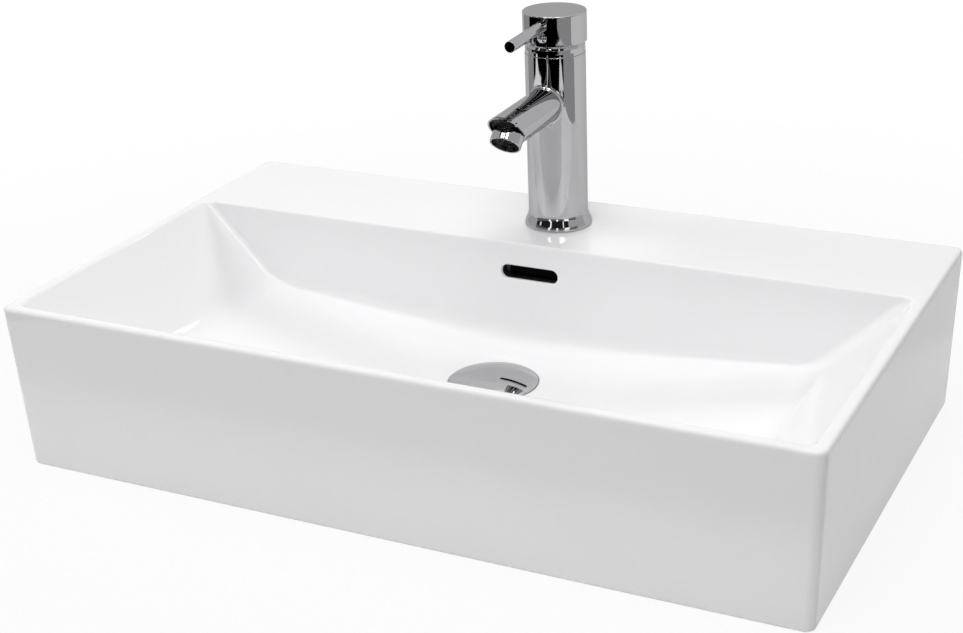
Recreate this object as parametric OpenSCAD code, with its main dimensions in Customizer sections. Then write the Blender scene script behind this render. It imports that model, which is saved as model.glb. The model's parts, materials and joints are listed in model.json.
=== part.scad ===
// Countertop basin with a single-lever mixer tap and a push-to-open waste.
// Millimetres. The origin is the middle of the basin's foot, +Z is up and the front faces -Y.

/* [Basin] */
// Width of the basin, side to side
basin_w = 600; // [500:5:760]
// Depth of the basin, front to back
basin_d = 355; // [335:5:420]
// Height of the basin
basin_h = 125; // [118:1:150]
// How far the side and front walls lean in at the foot
wall_draft = 5; // [1:0.5:9]
// Radius of the upright outer corners
corner_r = 7; // [4:0.5:12]
// Rounding of the rim's outer edge
rim_round = 3.5; // [1.5:0.5:4.5]
// Rounding of the bowl's edge at the rim
lip_round = 2.5; // [1:0.5:3]
// Rounding of the foot's outer edge
foot_round = 2; // [0.5:0.5:3]
// Thickness of the rim at the sides and the front
rim_t = 8.5; // [8:0.5:14]
// Thickness of the outer walls at the foot
wall_t = 9.5; // [8:0.5:12]

/* [Tap ledge] */
// Depth of the ledge, from the bowl's edge to the back
ledge_d = 109; // [100:1:112]
// Thickness of the ledge
ledge_t = 12; // [9:0.5:16]
// Distance of the tap's axis from the back of the basin
tap_back = 54.5; // [50:0.5:62]
// Diameter of the tap hole
tap_hole_d = 35; // [33:0.5:37]

/* [Bowl] */
// Thickness of the bowl
bowl_t = 9.5; // [8:0.5:11]
// How far the bowl's side walls slope in
side_slope = 61.5; // [40:0.5:80]
// How far the bowl's back wall leans in
back_slope = 6.5; // [3:0.5:10]
// How far the bowl's front wall leans in
front_slope = 9; // [5:0.5:14]
// Height of the floor where it meets the side walls
foot_side_z = 66; // [60:0.5:76]
// Height of the floor at the middle of the back wall
foot_back_z = 51; // [48:0.5:58]
// Height of the floor at the middle of the front wall
foot_front_z = 56; // [50:0.5:60]
// Height of the floor at the waste
drain_z = 42; // [41:0.5:46]
// Length of the fillet where floor and walls meet
floor_fillet = 10; // [5:0.5:14]
// Radius of the bowl's upright corners at the rim
bowl_corner_r = 9; // [6:0.5:16]
// Radius of the bowl's corners at the floor
floor_corner_r = 15; // [10:0.5:24]
// Distance of the waste from the middle of the basin, to the back
waste_y = 0; // [-20:1:6]

/* [Overflow] */
// Width of the overflow slot
slot_w = 46.5; // [36:0.5:52]
// Height of the overflow slot
slot_h = 10.6; // [8:0.2:13]
// Depth of the slot's middle below the rim
slot_drop = 23; // [20:0.5:30]
// Width of the cast duct behind the slot
duct_w = 52; // [50:1:64]
// Depth of the duct, front to back
duct_d = 12; // [9:0.5:15]
// Height of the duct's run under the floor
duct_h = 7; // [6:0.5:8]
// Wall of the duct
duct_wall = 7; // [5:0.5:9]

/* [Tap column] */
// Diameter of the column
column_d = 45.8; // [44:0.2:50]
// Height of the column above the ledge
column_h = 135.5; // [120:0.5:180]
// Diameter of the flared foot
flare_d = 51.8; // [50:0.2:56]
// Height of the flared foot
flare_h = 11.5; // [8:0.5:16]
// Width of the rubber ring under the foot
gasket_w = 4.6; // [3.5:0.1:5]
// Thickness of the rubber ring under the foot
gasket_t = 2; // [1.5:0.1:3]

/* [Spout] */
// Diameter of the spout
spout_d = 27; // [25:0.5:30]
// Height of the spout's axis above the ledge
spout_z = 100; // [88:0.5:104]
// Reach of the spout, from the tap's axis to the middle of its cut end
spout_reach = 87; // [80:1:120]
// Fall of the spout to its end
spout_fall = 1; // [0:0.5:4]
// Angle of the spout's cut end to the level
cut_angle = 45; // [38:1:50]
// Bore of the spout's waterway
waterway_d = 17; // [12:0.5:18]
// Diameter of the aerator sleeve
aerator_d = 23.2; // [22:0.2:24]
// Length of the aerator sleeve outside the spout
aerator_len = 9.3; // [7:0.1:12]
// Shift of the aerator towards the lower edge of the cut end
aerator_shift = 4.25; // [3:0.25:5]
// Thread diameter of the aerator sleeve
aerator_thread_d = 22; // [20:0.2:22]
// Length of the aerator's thread
aerator_thread_len = 6.5; // [5:0.5:8]
// Bore of the aerator's mouth
mouth_d = 20.6; // [19:0.2:20.8]
// Thickness of the aerator washer
aerator_washer_t = 1; // [0.8:0.1:1.5]

/* [Handle] */
// Diameter of the handle cap
cap_d = 48; // [47:0.2:54]
// Height of the handle cap
cap_h = 22.7; // [21:0.1:28]
// Height of the cap's lower edge above the column
cap_lift = 8.5; // [8:0.1:10]
// Wall of the handle cap
cap_wall = 2.2; // [1.8:0.1:2.6]
// Rounding of the cap's top edge
cap_round = 1.8; // [1:0.1:2.5]
// Diameter of the lever rod
lever_d = 8.5; // [7:0.1:9]
// Reach of the lever rod, from the tap's axis to its tip
lever_reach = 78; // [60:1:110]
// Height of the lever's axis above the cap's lower edge
lever_rise = 16.3; // [15:0.1:17]
// Fall of the lever to its tip
lever_fall = 2; // [0:0.5:4]
// Diameter of the lever's threaded stud
lever_stud_d = 6; // [5:0.5:6]
// Diameter of the index plug
plug_d = 8.6; // [7.5:0.1:9]
// Height of the index plug above the cap's lower edge
plug_rise = 6.6; // [6.2:0.1:7]
// Diameter of the grub screw
grub_d = 5; // [4:0.5:5]

/* [Cartridge] */
// Diameter of the cartridge
cartridge_d = 34.8; // [33:0.1:36]
// Depth of the cartridge's seat below the column's top
seat_depth = 26.5; // [26.5:0.5:32]
// Thickness of each ceramic disc
disc_t = 3.5; // [3:0.1:4]
// Diameter of the fixed disc
fixed_disc_d = 29; // [28:0.1:31]
// Diameter of the moving disc
moving_disc_d = 26; // [25:0.1:26.5]
// Height of the carrier on the moving disc
carrier_t = 6.1; // [5.5:0.1:6.5]
// Distance of the stem's ball below its pivot
ball_arm = 6.5; // [6:0.1:7]
// Diameter of the stem's ball
ball_d = 4.4; // [3.8:0.1:4.6]
// Diameter of the pivot pin
pin_d = 2.5; // [2:0.1:2.6]
// Width of the square stem
stem_w = 8; // [7:0.1:8.4]
// Greatest lift of the handle
lift_angle = 25; // [15:1:25]
// Distance of the inlet ports from the middle plane
inlet_x = 7.5; // [7.2:0.1:8]
// Distance of the inlet ports in front of the axis
inlet_front = 4; // [3.5:0.1:4.5]
// Distance of the mixed port behind the axis
mixed_back = 7.5; // [7:0.1:8]
// Diameter of the cartridge's ports
port_d = 6.8; // [6:0.1:7]

/* [Tap fixing] */
// Diameter of the threaded hose inlets
hose_thread_d = 10; // [10:1:10]
// Depth of the threaded hose inlets
hose_depth = 12; // [8:1:20]
// Diameter of the fixing stud
stud_d = 8; // [6:1:8]
// Distance of the stud behind the tap's axis
stud_back = 12; // [11.5:0.1:12.5]
// Length of the stud below the tap's foot
stud_drop = 45; // [40:1:60]
// Diameter of the horseshoe plate
horseshoe_d = 50; // [46:1:54]
// Width of the horseshoe's opening
horseshoe_gap = 29; // [28:0.5:30]
// Thickness of the horseshoe plate
horseshoe_t = 3; // [2:0.5:4]
// Thickness of the rubber pad on it
pad_t = 2; // [1.5:0.5:3]
// Width of the fixing nut across its flats
nut_af = 13; // [12:0.5:14]
// Height of the fixing nut
nut_h = 8; // [6:1:12]

/* [Waste] */
// Diameter of the waste hole
waste_hole_d = 46; // [44:0.5:48]
// Diameter of the domed waste cap
waste_cap_d = 66.6; // [64:0.2:68]
// Thickness of the cap at its edge
waste_cap_edge = 1.4; // [1:0.1:2]
// Rise of the cap's dome
waste_dome = 5.5; // [4:0.5:6]
// Diameter of the waste's flange
flange_d = 64; // [58:0.5:64]
// Thickness of the waste's flange
flange_t = 1.8; // [1.5:0.1:2.5]
// Thickness of the seals above and below the basin
seal_t = 1; // [0.8:0.1:1.5]
// Outside diameter of the threaded tail, G 1 1/4
tail_d = 41.9; // [40:0.1:42]
// Bore of the tail
tail_bore = 37.6; // [34:0.2:38]
// Height of the tail's end above the foot
tail_end = 1.5; // [1:0.5:3]
// Height of the backnut
backnut_h = 5.5; // [5:0.5:7]
// Width of the backnut across its flats
backnut_af = 52; // [50:1:56]
// Thickness of the washer above the backnut
lower_washer_t = 2.5; // [2:0.5:3]
// Width of that washer's ring
lower_washer_w = 9.5; // [6:0.5:12]
// Travel of the waste cap from shut to open
plug_travel = 8.5; // [6:0.5:9]
// Diameter of the waste cap's stem
stem_d = 6; // [5:0.5:6.5]
// Outside diameter of the click cartridge
click_d = 13; // [12:0.5:14]
// Wire diameter of the click spring
wire_d = 0.9; // [0.7:0.1:1.1]
// Turns of the click spring
spring_turns = 5; // [4:1:6]

/* [Hidden] */
$fn = 96;

// Clearance between pieces that must not touch, and between a thread and its hole
clear = 0.3;
thread_clear = 0.05;
// A cut starts this far outside the face that it goes through
over = 1;

// Colours of the finishes
WHITE = "#f4f5f7";
CHROME = "#c9ccd0";
BRASS = "#c8a24a";
RUBBER = "#2b2b2d";
PLASTIC = "#e6e2d6";
CERAMIC = "#d8d5cf";
STEEL = "#a9adb1";

// Basin
foot_y0 = wall_draft - basin_d / 2;
back_y = basin_d / 2;
ledge_y = back_y - ledge_d;
tap_y = back_y - tap_back;
top_hx = basin_w / 2 - rim_t;
top_y0 = rim_t - basin_d / 2;
floor_hx = top_hx - side_slope;
floor_y0 = top_y0 + front_slope;
floor_y1 = ledge_y - back_slope;
drain_ring_r = waste_cap_d / 2 + 3.7;
boss_r = drain_ring_r + 5;
flange_seat_z = drain_z - seal_t - flange_t - 1;
duct_z = flange_seat_z - 6.2 - duct_h;
// Walls of the overflow duct: its floor, its shelf, its root in the boss and its hold on the ledge
duct_floor_t = 5.5;
duct_shelf_t = 2;
duct_root = 8;
duct_bite = 1.5;
ledge_bite = 1;
boss_z = duct_z - duct_floor_t;
slot_z = basin_h - slot_drop;
duct_y = ledge_y + bowl_t - duct_bite;

// Steps of the basin's rings on a corner, a long side and a short side
corner_steps = 4;
long_steps = 18;
short_steps = 10;

// Tap, with heights above the ledge
column_r = column_d / 2;
seat_z = column_h - seat_depth;
base_z = seat_z + clear;
base_flange_t = 3.2;
base_spigot_t = 2;
shell_z = base_z + base_flange_t;
fixed_z = shell_z + base_spigot_t;
moving_z = fixed_z + disc_t;
carrier_z = moving_z + disc_t;
rotor_z = carrier_z + carrier_t + clear;
rotor_flange_t = 2;
rotor_neck_z = rotor_z + rotor_flange_t;
shell_step_z = rotor_neck_z + clear;
shoulder_t = 1.8;
shoulder_z = shell_step_z + shoulder_t;
pivot_z = rotor_neck_z + 1.6;
ball_z = pivot_z - ball_arm;
disc_rest_y = 1.3;
// The square shank ends just above the carrier when it leans the most
carrier_top_z = carrier_z + carrier_t;
shank_drop = (pivot_z - carrier_top_z - clear - stem_w / 2 * sin(lift_angle)) / cos(lift_angle);
ball_neck_r = ball_d / 2 - 0.5;
// Room behind the ball for its leaning neck
lean_room = (carrier_top_z - ball_z) * tan(lift_angle) + ball_neck_r / cos(lift_angle) + clear;
dog_x = 9.5;
dog_r = 1.4;
dog_h = 1;
shell_r = cartridge_d / 2;
shell_bore_r = shell_r - 1.2;
rotor_r = shell_bore_r - clear;
neck_r = shell_r - 2.1;
neck_bore_r = neck_r - 1.9;
rotor_neck_r = neck_bore_r - clear;
shell_top_z = shoulder_z + 7.5;
rotor_top_z = shell_top_z + 0.5;
nut_r = shell_r + 1.6;
nut_top_z = shoulder_z + 8.5;
nut_bore_r = neck_r + clear;
collar_r = nut_r + 2.1;
collar_top_z = nut_top_z - 0.9;
cap_z = column_h + cap_lift;
cap_r = cap_d / 2;
cap_bore_r = cap_r - cap_wall;
cap_top_z = cap_z + cap_h;
lever_z = cap_z + lever_rise;
plug_z = cap_z + plug_rise;
lever_seat_y = cap_r - 1.5;
stem_top_z = lever_z - 0.3;
hub_r = stem_w / 2 * sqrt(2) + 2.8;
ring_r = column_r - clear;
ring_top_z = cap_z + 0.2;
ring_hole_r = hub_r + 9.5;
// The dome is a sphere about the pivot, just inside the path of the cap's lower edge
dome_clear = 0.7;
dome_r = sqrt(pow(cap_bore_r, 2) + pow(cap_z - pivot_z, 2)) - dome_clear;
dome_start_z = pivot_z + sqrt(pow(dome_r, 2) - pow(ring_r, 2));
riser_r = 3.8;
hose_r = hose_thread_d / 2;
lug_x = 10.5;
lug_back = 9.5;
lug_r = 1.4;
lug_h = 2.3;
gasket_r = tap_hole_d / 2 + 1.7;
stud_hole_h = 14;
waterway_y = 9.5;
waterway_end = 9;
horseshoe_y = horseshoe_gap / 2 - (stud_back - stud_d / 2 - 2.5);

// Waste, with heights above the foot
waste_seal_z = flange_seat_z;
flange_z = waste_seal_z + seal_t;
flange_top_z = flange_z + flange_t;
cap_seal_t = seal_t + 0.2;
cap_gap = 0.4;
waste_cap_z = flange_top_z + cap_gap;
waste_cap_r = waste_cap_d / 2;
tail_r = tail_d / 2;
washer_z = boss_z - lower_washer_t;
backnut_z = washer_z - backnut_h;
// Below the backnut the thread is turned down a little, so that the trap's nut starts easily
free_thread_z = backnut_z - 0.3;
free_thread_r = tail_r - 0.23;
hub_z = backnut_z + 2.5;
hub_h = 4;
click_bore_r = click_d / 2 - 1.3;
click_z = hub_z - 5;
click_flange_z = hub_z + hub_h;
spring_z = click_z + 2;
collar_h = 1.5;
collar_z = spring_z + 8;
click_roof_z = collar_z + collar_h + plug_travel + 1;
click_top_z = click_roof_z + 1.5;
stem_top_w = waste_cap_z - 0.6;

// Points of a rounded rectangle, anticlockwise from its right side. The rearmost step of each
// short side takes the share behind of that side, and the other steps are equal.
function corner_at(c, hx, y0, y1, r) = [(c == 0 || c == 3) ? hx - r : r - hx, c < 2 ? y1 - r : y0 + r];
function arc_point(c, k, hx, y0, y1, r) =
    corner_at(c, hx, y0, y1, r)
    + r * [cos(90 * (c + k / corner_steps)), sin(90 * (c + k / corner_steps))];
function share(c, k, behind) =
    c % 2 == 0 ? k / long_steps
    : c == 1 ? behind + (1 - behind) * (k - 1) / (short_steps - 1)
    : (1 - behind) * k / (short_steps - 1);
function outline(hx, y0, y1, r, behind = 1 / short_steps) = [
    for (c = [0:3])
        let (
            steps = c % 2 == 0 ? long_steps : short_steps,
            a = arc_point(c, corner_steps, hx, y0, y1, r),
            b = arc_point((c + 1) % 4, 0, hx, y0, y1, r)
        )
        each concat(
            [for (k = [0:corner_steps]) arc_point(c, k, hx, y0, y1, r)],
            [for (k = [1:steps - 1]) a + (b - a) * share(c, k, behind)]
        )
];
function at_height(points, z) = [for (p = points) [p.x, p.y, z]];
function mix(a, b, t) = [for (i = [0:len(a) - 1]) a[i] + (b[i] - a[i]) * t];
function bend(a, b, c, t) = mix(mix(a, b, t), mix(b, c, t), t);
function step_from(a, b, dist) = [for (i = [0:len(a) - 1]) a[i] + (b[i] - a[i]) * dist / norm(b[i] - a[i])];

// Height of the line where floor and walls meet: lowest in the middle, highest at the sides
function meeting_z(p) =
    let (
        back = (p.y - floor_y0) / (floor_y1 - floor_y0),
        middle = foot_front_z + (foot_back_z - foot_front_z) * back
    )
    middle + (foot_side_z - middle) * pow(min(1, abs(p.x) / floor_hx), 1.5);
// The floor falls from that line to the waste, steeper at first
function floor_ring(start, drain, t) = [
    for (i = [0:len(start) - 1])
        let (p = start[i] + (drain[i] - start[i]) * t)
        [p.x, p.y, drain_z + (start[i].z - drain_z) * pow(1 - t, 1.25)]
];
function round_drain(points, r, z) = [
    for (p = points)
        let (a = atan2(p.y - waste_y, p.x))
        [r * cos(a), waste_y + r * sin(a), z]
];
// Underside of the bowl's sloping side wall, above the point at x
side_rise = (basin_h - foot_side_z) / side_slope;
function under_side(x) = basin_h - (top_hx - abs(x)) * side_rise - bowl_t * sqrt(1 + side_rise * side_rise);
skirt_hx = basin_w / 2 - wall_draft - wall_t;
skirt_y0 = foot_y0 + wall_t;
skirt_y1 = back_y - wall_t;
behind_y = ledge_y + bowl_t + 0.5;
function under_front(x) =
    foot_front_z + (foot_side_z - foot_front_z) * pow(min(1, abs(x) / floor_hx), 1.5) - bowl_t - 2;
function ceiling_z(p) =
    p.y > behind_y + 0.01 ? basin_h - ledge_t
    : max(under_side(p.x), under_front(p.x));
function behind_z(p) = p.y > behind_y - 0.01 ? basin_h - ledge_t : ceiling_z(p);

module skin(rings) {
    n = len(rings[0]);
    last = len(rings) - 1;
    points = [for (r = rings) each r];
    sides = [
        for (k = [0:last - 1])
            for (i = [0:n - 1])
                let (a = k * n + i, b = k * n + (i + 1) % n)
                each [[a, b, b + n], [a, b + n, a + n]]
    ];
    first_face = [for (i = [0:n - 1]) n - 1 - i];
    last_face = [for (i = [0:n - 1]) last * n + i];
    polyhedron(points = points, faces = concat([first_face], sides, [last_face]), convexity = 8);
}

module basin_skin() {
    top = at_height(outline(top_hx, top_y0, ledge_y, bowl_corner_r), basin_h);
    meeting = [for (p = outline(floor_hx, floor_y0, floor_y1, floor_corner_r)) [p.x, p.y, meeting_z(p)]];
    drain = round_drain(meeting, drain_ring_r, drain_z);
    foot_of_wall = step_from(meeting, top, floor_fillet);
    edge_of_floor = step_from(meeting, drain, floor_fillet);
    lip = outline(top_hx + lip_round, top_y0 - lip_round, ledge_y + lip_round, bowl_corner_r + lip_round);
    lip_out = at_height(lip, basin_h);
    lip_in = step_from(top, meeting, lip_round);
    rim_hx = basin_w / 2 - rim_round;
    rim_in = at_height(
        outline(rim_hx, rim_round - basin_d / 2, back_y - rim_round, corner_r - rim_round + 0.5),
        basin_h
    );
    foot_hx = basin_w / 2 - wall_draft;
    rim_corner = at_height(outline(basin_w / 2, -basin_d / 2, back_y, corner_r), basin_h);
    foot_corner = at_height(outline(foot_hx, foot_y0, back_y, corner_r), 0);
    rim_low = step_from(rim_corner, foot_corner, rim_round);
    foot_high = step_from(foot_corner, rim_corner, foot_round);
    foot_in = at_height(
        outline(foot_hx - foot_round, foot_y0 + foot_round, back_y - foot_round, corner_r - foot_round),
        0
    );
    skirt_r = corner_r - 1;
    behind = (skirt_y1 - skirt_r - behind_y) / (skirt_y1 - skirt_y0 - 2 * skirt_r);
    skirt = outline(skirt_hx, skirt_y0, skirt_y1, skirt_r, behind);
    under_wall = outline(floor_hx + side_slope * 0.72, skirt_y0 + 4, behind_y, 3);
    under_foot = outline(floor_hx + 2, skirt_y0 + 12, floor_y1 + bowl_t + 0.5, floor_corner_r);
    under_floor = floor_ring(edge_of_floor, drain, 0.4);
    skin(concat(
        [drain],
        [for (t = [0.8, 0.6, 0.4, 0.2]) floor_ring(edge_of_floor, drain, t)],
        [for (t = [0:0.25:1]) bend(edge_of_floor, meeting, foot_of_wall, t)],
        [for (t = [0:1 / 3:1]) bend(lip_in, top, lip_out, t)],
        [for (t = [0:0.25:1]) bend(rim_in, rim_corner, rim_low, t)],
        [for (t = [0:0.5:1]) bend(foot_high, foot_corner, foot_in, t)],
        [at_height(skirt, 0)],
        [[for (p = skirt) [p.x, p.y, ceiling_z(p)]]],
        [[for (p = under_wall) [p.x, p.y, behind_z(p)]]],
        [[for (p = under_foot) [p.x, p.y, meeting_z(p) - bowl_t * 1.15]]],
        [[for (p = under_floor) [p.x, p.y, p.z - bowl_t]]],
        [round_drain(meeting, boss_r, drain_z - bowl_t - 0.5)],
        [round_drain(meeting, boss_r, boss_z)]
    ));
}

// Side view of the overflow duct: down behind the bowl and forward to the waste
module duct_profile(grow) {
    outside = grow > 0;
    front = outside ? waste_y + boss_r - duct_root : waste_y;
    y0 = duct_y - grow;
    y1 = duct_y + duct_d + grow;
    floor_z = outside ? boss_z : duct_z;
    roof_z = basin_h - ledge_t + (outside ? ledge_bite : -duct_bite);
    shelf_z = duct_z + duct_h;
    polygon([
        [front, floor_z], [y1, floor_z], [y1, roof_z], [y0, roof_z],
        [y0, shelf_z + grow], [front, shelf_z + (outside ? duct_shelf_t : 0)],
    ]);
}
module across(width) {
    translate([-width / 2, 0, 0]) rotate([90, 0, 90]) linear_extrude(width) children();
}
module stadium(w, h, depth) {
    translate([0, depth, 0]) rotate([90, 0, 0]) linear_extrude(depth) union() {
        square([w - h, h], center = true);
        for (s = [-1, 1]) translate([s * (w - h) / 2, 0]) circle(d = h);
    }
}
module basin() {
    color(WHITE) difference() {
        union() {
            basin_skin();
            across(duct_w + 2 * duct_wall) duct_profile(duct_wall);
        }
        across(duct_w) duct_profile(0);
        translate([0, waste_y, duct_z]) cylinder(r = waste_hole_d / 2 + duct_h, h = duct_h);
        translate([0, waste_y, boss_z - over]) cylinder(d = waste_hole_d, h = drain_z);
        translate([0, waste_y, flange_seat_z]) cylinder(r = waste_cap_r + 0.7, h = drain_z);
        translate([0, floor_y1 - 2, slot_z]) stadium(slot_w, slot_h, duct_y - floor_y1 + 4);
        translate([0, tap_y, basin_h - ledge_t - over]) cylinder(d = tap_hole_d, h = ledge_t + 2 * over);
    }
}

// Places of the tap's pieces
module at_tap() {
    translate([0, tap_y, basin_h]) children();
}
// The spout's frame runs along -Y from the tap's axis
module along_spout() {
    translate([0, 0, spout_z]) rotate([spout_fall, 0, 0]) children();
}
// The frame of the spout's cut end, with -Z out of it
module at_cut() {
    along_spout() translate([0, -spout_reach, 0]) rotate([-spout_fall - cut_angle, 0, 0]) children();
}
module at_aerator() {
    at_cut() translate([0, aerator_shift, 0]) children();
}
module at_lever() {
    translate([0, 0, lever_z]) rotate([lever_fall, 0, 0]) children();
}
// A cylinder along -Y, from one distance to another
module rod(r, from, to) {
    translate([0, -from, 0]) rotate([90, 0, 0]) cylinder(r = r, h = to - from);
}
module ports(r, from, to) {
    for (p = [[-inlet_x, -inlet_front], [inlet_x, -inlet_front], [0, mixed_back]])
        translate([p.x, p.y, from]) cylinder(r = r, h = to - from);
}
module lugs(r, from, to) {
    for (s = [-1, 1]) translate([s * lug_x, lug_back, from]) cylinder(r = r, h = to - from);
}
module ring(r_in, r_out, z, h) {
    translate([0, 0, z]) difference() {
        cylinder(r = r_out, h = h);
        translate([0, 0, -over]) cylinder(r = r_in, h = h + 2 * over);
    }
}

flare_steps = 8;
module column_profile() {
    flare = flare_d / 2 - column_r;
    edge = clear + 0.4;
    polygon(concat(
        [[0, clear], [flare_d / 2 - 0.4, clear], [flare_d / 2, edge]],
        [for (k = [1:flare_steps])
            let (t = k / flare_steps)
            [column_r + flare * (1 - t * t * (3 - 2 * t)), edge + (flare_h - edge) * t]],
        [[column_r, column_h - 0.3], [column_r - 0.3, column_h], [collar_r, column_h]],
        [[collar_r, collar_top_z], [0, collar_top_z]]
    ));
}
module tap_body() {
    socket_depth = aerator_thread_len + aerator_washer_t;
    mixing_w = 4.4;
    mixing_h = 18;
    color(CHROME) at_tap() difference() {
        union() {
            rotate_extrude() column_profile();
            difference() {
                along_spout() rod(spout_d / 2, 0, spout_reach + spout_d);
                at_cut() translate([-spout_d, -2 * spout_d, -3 * spout_d])
                    cube([2 * spout_d, 4 * spout_d, 3 * spout_d]);
            }
        }
        translate([0, 0, seat_z]) cylinder(r = shell_r + clear, h = column_h);
        translate([0, 0, shoulder_z - 1]) cylinder(r = nut_r + 0.1, h = column_h);
        along_spout() rod(waterway_d / 2, waterway_y, spout_reach - waterway_end);
        at_aerator() translate([0, 0, -over])
            cylinder(d = aerator_thread_d + 2 * thread_clear, h = over + socket_depth);
        translate([-mixing_w / 2, -12, spout_z - 12]) cube([mixing_w, 12 + mixed_back + 2, mixing_h]);
        translate([0, mixed_back, spout_z - 8]) cylinder(r = riser_r, h = seat_z - spout_z + 9);
        for (s = [-1, 1]) translate([s * inlet_x, -inlet_front, 0]) {
            translate([0, 0, hose_depth]) cylinder(r = riser_r, h = seat_z - hose_depth + over);
            translate([0, 0, -over]) cylinder(r = hose_r, h = hose_depth + over);
        }
        lugs(lug_r + 0.2, seat_z - lug_h - clear, seat_z + over);
        translate([0, stud_back, -over]) cylinder(r = stud_d / 2 + thread_clear, h = stud_hole_h + over);
        ring(gasket_r - clear, gasket_r + gasket_w + clear, -over, gasket_t + over);
    }
}
module base_gasket() {
    color(RUBBER) at_tap() ring(gasket_r, gasket_r + gasket_w, 0, gasket_t);
}

module cartridge_housing() {
    color(PLASTIC) at_tap() difference() {
        union() {
            translate([0, 0, shell_z]) cylinder(r = shell_r, h = shoulder_z - shell_z);
            translate([0, 0, shell_z]) cylinder(r = neck_r, h = shell_top_z - shell_z);
        }
        translate([0, 0, shell_z - over]) cylinder(r = shell_bore_r, h = shell_step_z - shell_z + over);
        translate([0, 0, shell_z]) cylinder(r = neck_bore_r, h = column_h);
    }
}
module cartridge_base() {
    color(PLASTIC) at_tap() difference() {
        union() {
            translate([0, 0, base_z]) cylinder(r = shell_r, h = base_flange_t);
            translate([0, 0, base_z]) cylinder(r = shell_bore_r - clear, h = fixed_z - base_z);
            lugs(lug_r, seat_z - lug_h, base_z + 1);
        }
        ports(port_d / 2, base_z - over, fixed_z + over);
        ports(port_d / 2 + 2.1, base_z - over, base_z + 1.5);
    }
}
module cartridge_seals() {
    color(RUBBER) at_tap() difference() {
        ports(port_d / 2 + 2, seat_z, base_z + 1.5);
        ports(port_d / 2 + 0.4, seat_z - over, base_z + 2.5);
    }
}
module fixed_disc() {
    color(CERAMIC) at_tap() difference() {
        translate([0, 0, fixed_z]) cylinder(d = fixed_disc_d, h = disc_t);
        ports(port_d / 2, fixed_z - over, moving_z + over);
    }
}
module moving_disc() {
    color(WHITE) at_tap() translate([0, disc_rest_y, moving_z]) difference() {
        cylinder(d = moving_disc_d, h = disc_t);
        translate([0, 2.4, -over]) cylinder(r = 6.5, h = 1.6 + over);
        for (s = [-1, 1]) translate([s * dog_x, 0, disc_t - dog_h - 0.2]) cylinder(r = dog_r + 0.1, h = 2);
    }
}
module disc_carrier() {
    pocket_floor = ball_z - ball_d / 2 - clear;
    color(PLASTIC) at_tap() difference() {
        translate([0, disc_rest_y, carrier_z]) union() {
            cylinder(d = moving_disc_d - 1, h = carrier_t);
            for (s = [-1, 1]) translate([s * dog_x, 0, -dog_h]) cylinder(r = dog_r, h = 2);
        }
        translate([-ball_d / 2 - 1, -ball_d / 2 - clear, pocket_floor])
            cube([ball_d + 2, ball_d + 2 * clear, carrier_t + 2]);
        translate([-ball_d / 2 - 1, 0, ball_z + clear])
            cube([ball_d + 2, lean_room, carrier_t + 2]);
    }
}
module cartridge_rotor() {
    slot = stem_w / 2 + clear;
    lean = (rotor_top_z - pivot_z) * tan(lift_angle);
    cut_h = rotor_top_z - rotor_z + 1;
    color(WHITE) at_tap() difference() {
        union() {
            translate([0, 0, rotor_z]) cylinder(r = rotor_r, h = rotor_flange_t);
            translate([0, 0, rotor_z]) cylinder(r = rotor_neck_r, h = rotor_top_z - rotor_z);
        }
        translate([-slot, -slot - 1, rotor_z - over]) cube([2 * slot, 2 * slot + 1.6, cut_h]);
        translate([-slot, -slot, pivot_z - 2]) cube([2 * slot, 2 * slot + lean + 0.6, cut_h]);
        translate([0, 0, pivot_z]) rotate([0, 90, 0])
            cylinder(r = pin_d / 2 + 0.02, h = 2 * rotor_r, center = true);
    }
}
module stem_pin() {
    color(STEEL) at_tap() translate([0, 0, pivot_z]) rotate([0, 90, 0])
        cylinder(d = pin_d, h = 2 * rotor_neck_r - 0.4, center = true);
}
module cartridge_stem() {
    color(BRASS) at_tap() difference() {
        union() {
            translate([0, 0, ball_z]) sphere(d = ball_d);
            translate([0, 0, ball_z]) cylinder(r = ball_neck_r, h = ball_arm);
            translate([-stem_w / 2, -stem_w / 2, pivot_z - shank_drop])
                cube([stem_w, stem_w, stem_top_z - pivot_z + shank_drop]);
        }
        translate([0, 0, pivot_z]) rotate([0, 90, 0])
            cylinder(r = pin_d / 2 + 0.05, h = 2 * stem_w, center = true);
    }
}
module cartridge_nut() {
    notches = 6;
    color(BRASS) at_tap() difference() {
        ring(nut_bore_r, nut_r, shoulder_z, nut_top_z - shoulder_z);
        for (k = [0:notches - 1]) rotate([0, 0, 30 + 360 / notches * k])
            translate([nut_r - 2, -2, nut_top_z - 2.5]) cube([4, 4, 4]);
    }
}
dome_steps = 6;
module dome_ring() {
    collar_bore = collar_r + clear;
    nut_clear_r = nut_r + 0.4;
    plate_z = ring_top_z - 1.8;
    a0 = asin((dome_start_z - pivot_z) / dome_r);
    a1 = asin((ring_top_z - pivot_z) / dome_r);
    color(CHROME) at_tap() rotate_extrude() polygon(concat(
        [[collar_bore, column_h], [ring_r - 0.3, column_h], [ring_r, column_h + 0.3]],
        [for (k = [0:dome_steps])
            let (a = a0 + (a1 - a0) * k / dome_steps)
            [dome_r * cos(a), pivot_z + dome_r * sin(a)]],
        [[ring_hole_r, ring_top_z], [ring_hole_r, plate_z], [nut_clear_r, plate_z]],
        [[nut_clear_r, collar_top_z + clear], [collar_bore, collar_top_z + clear]]
    ));
}

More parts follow.
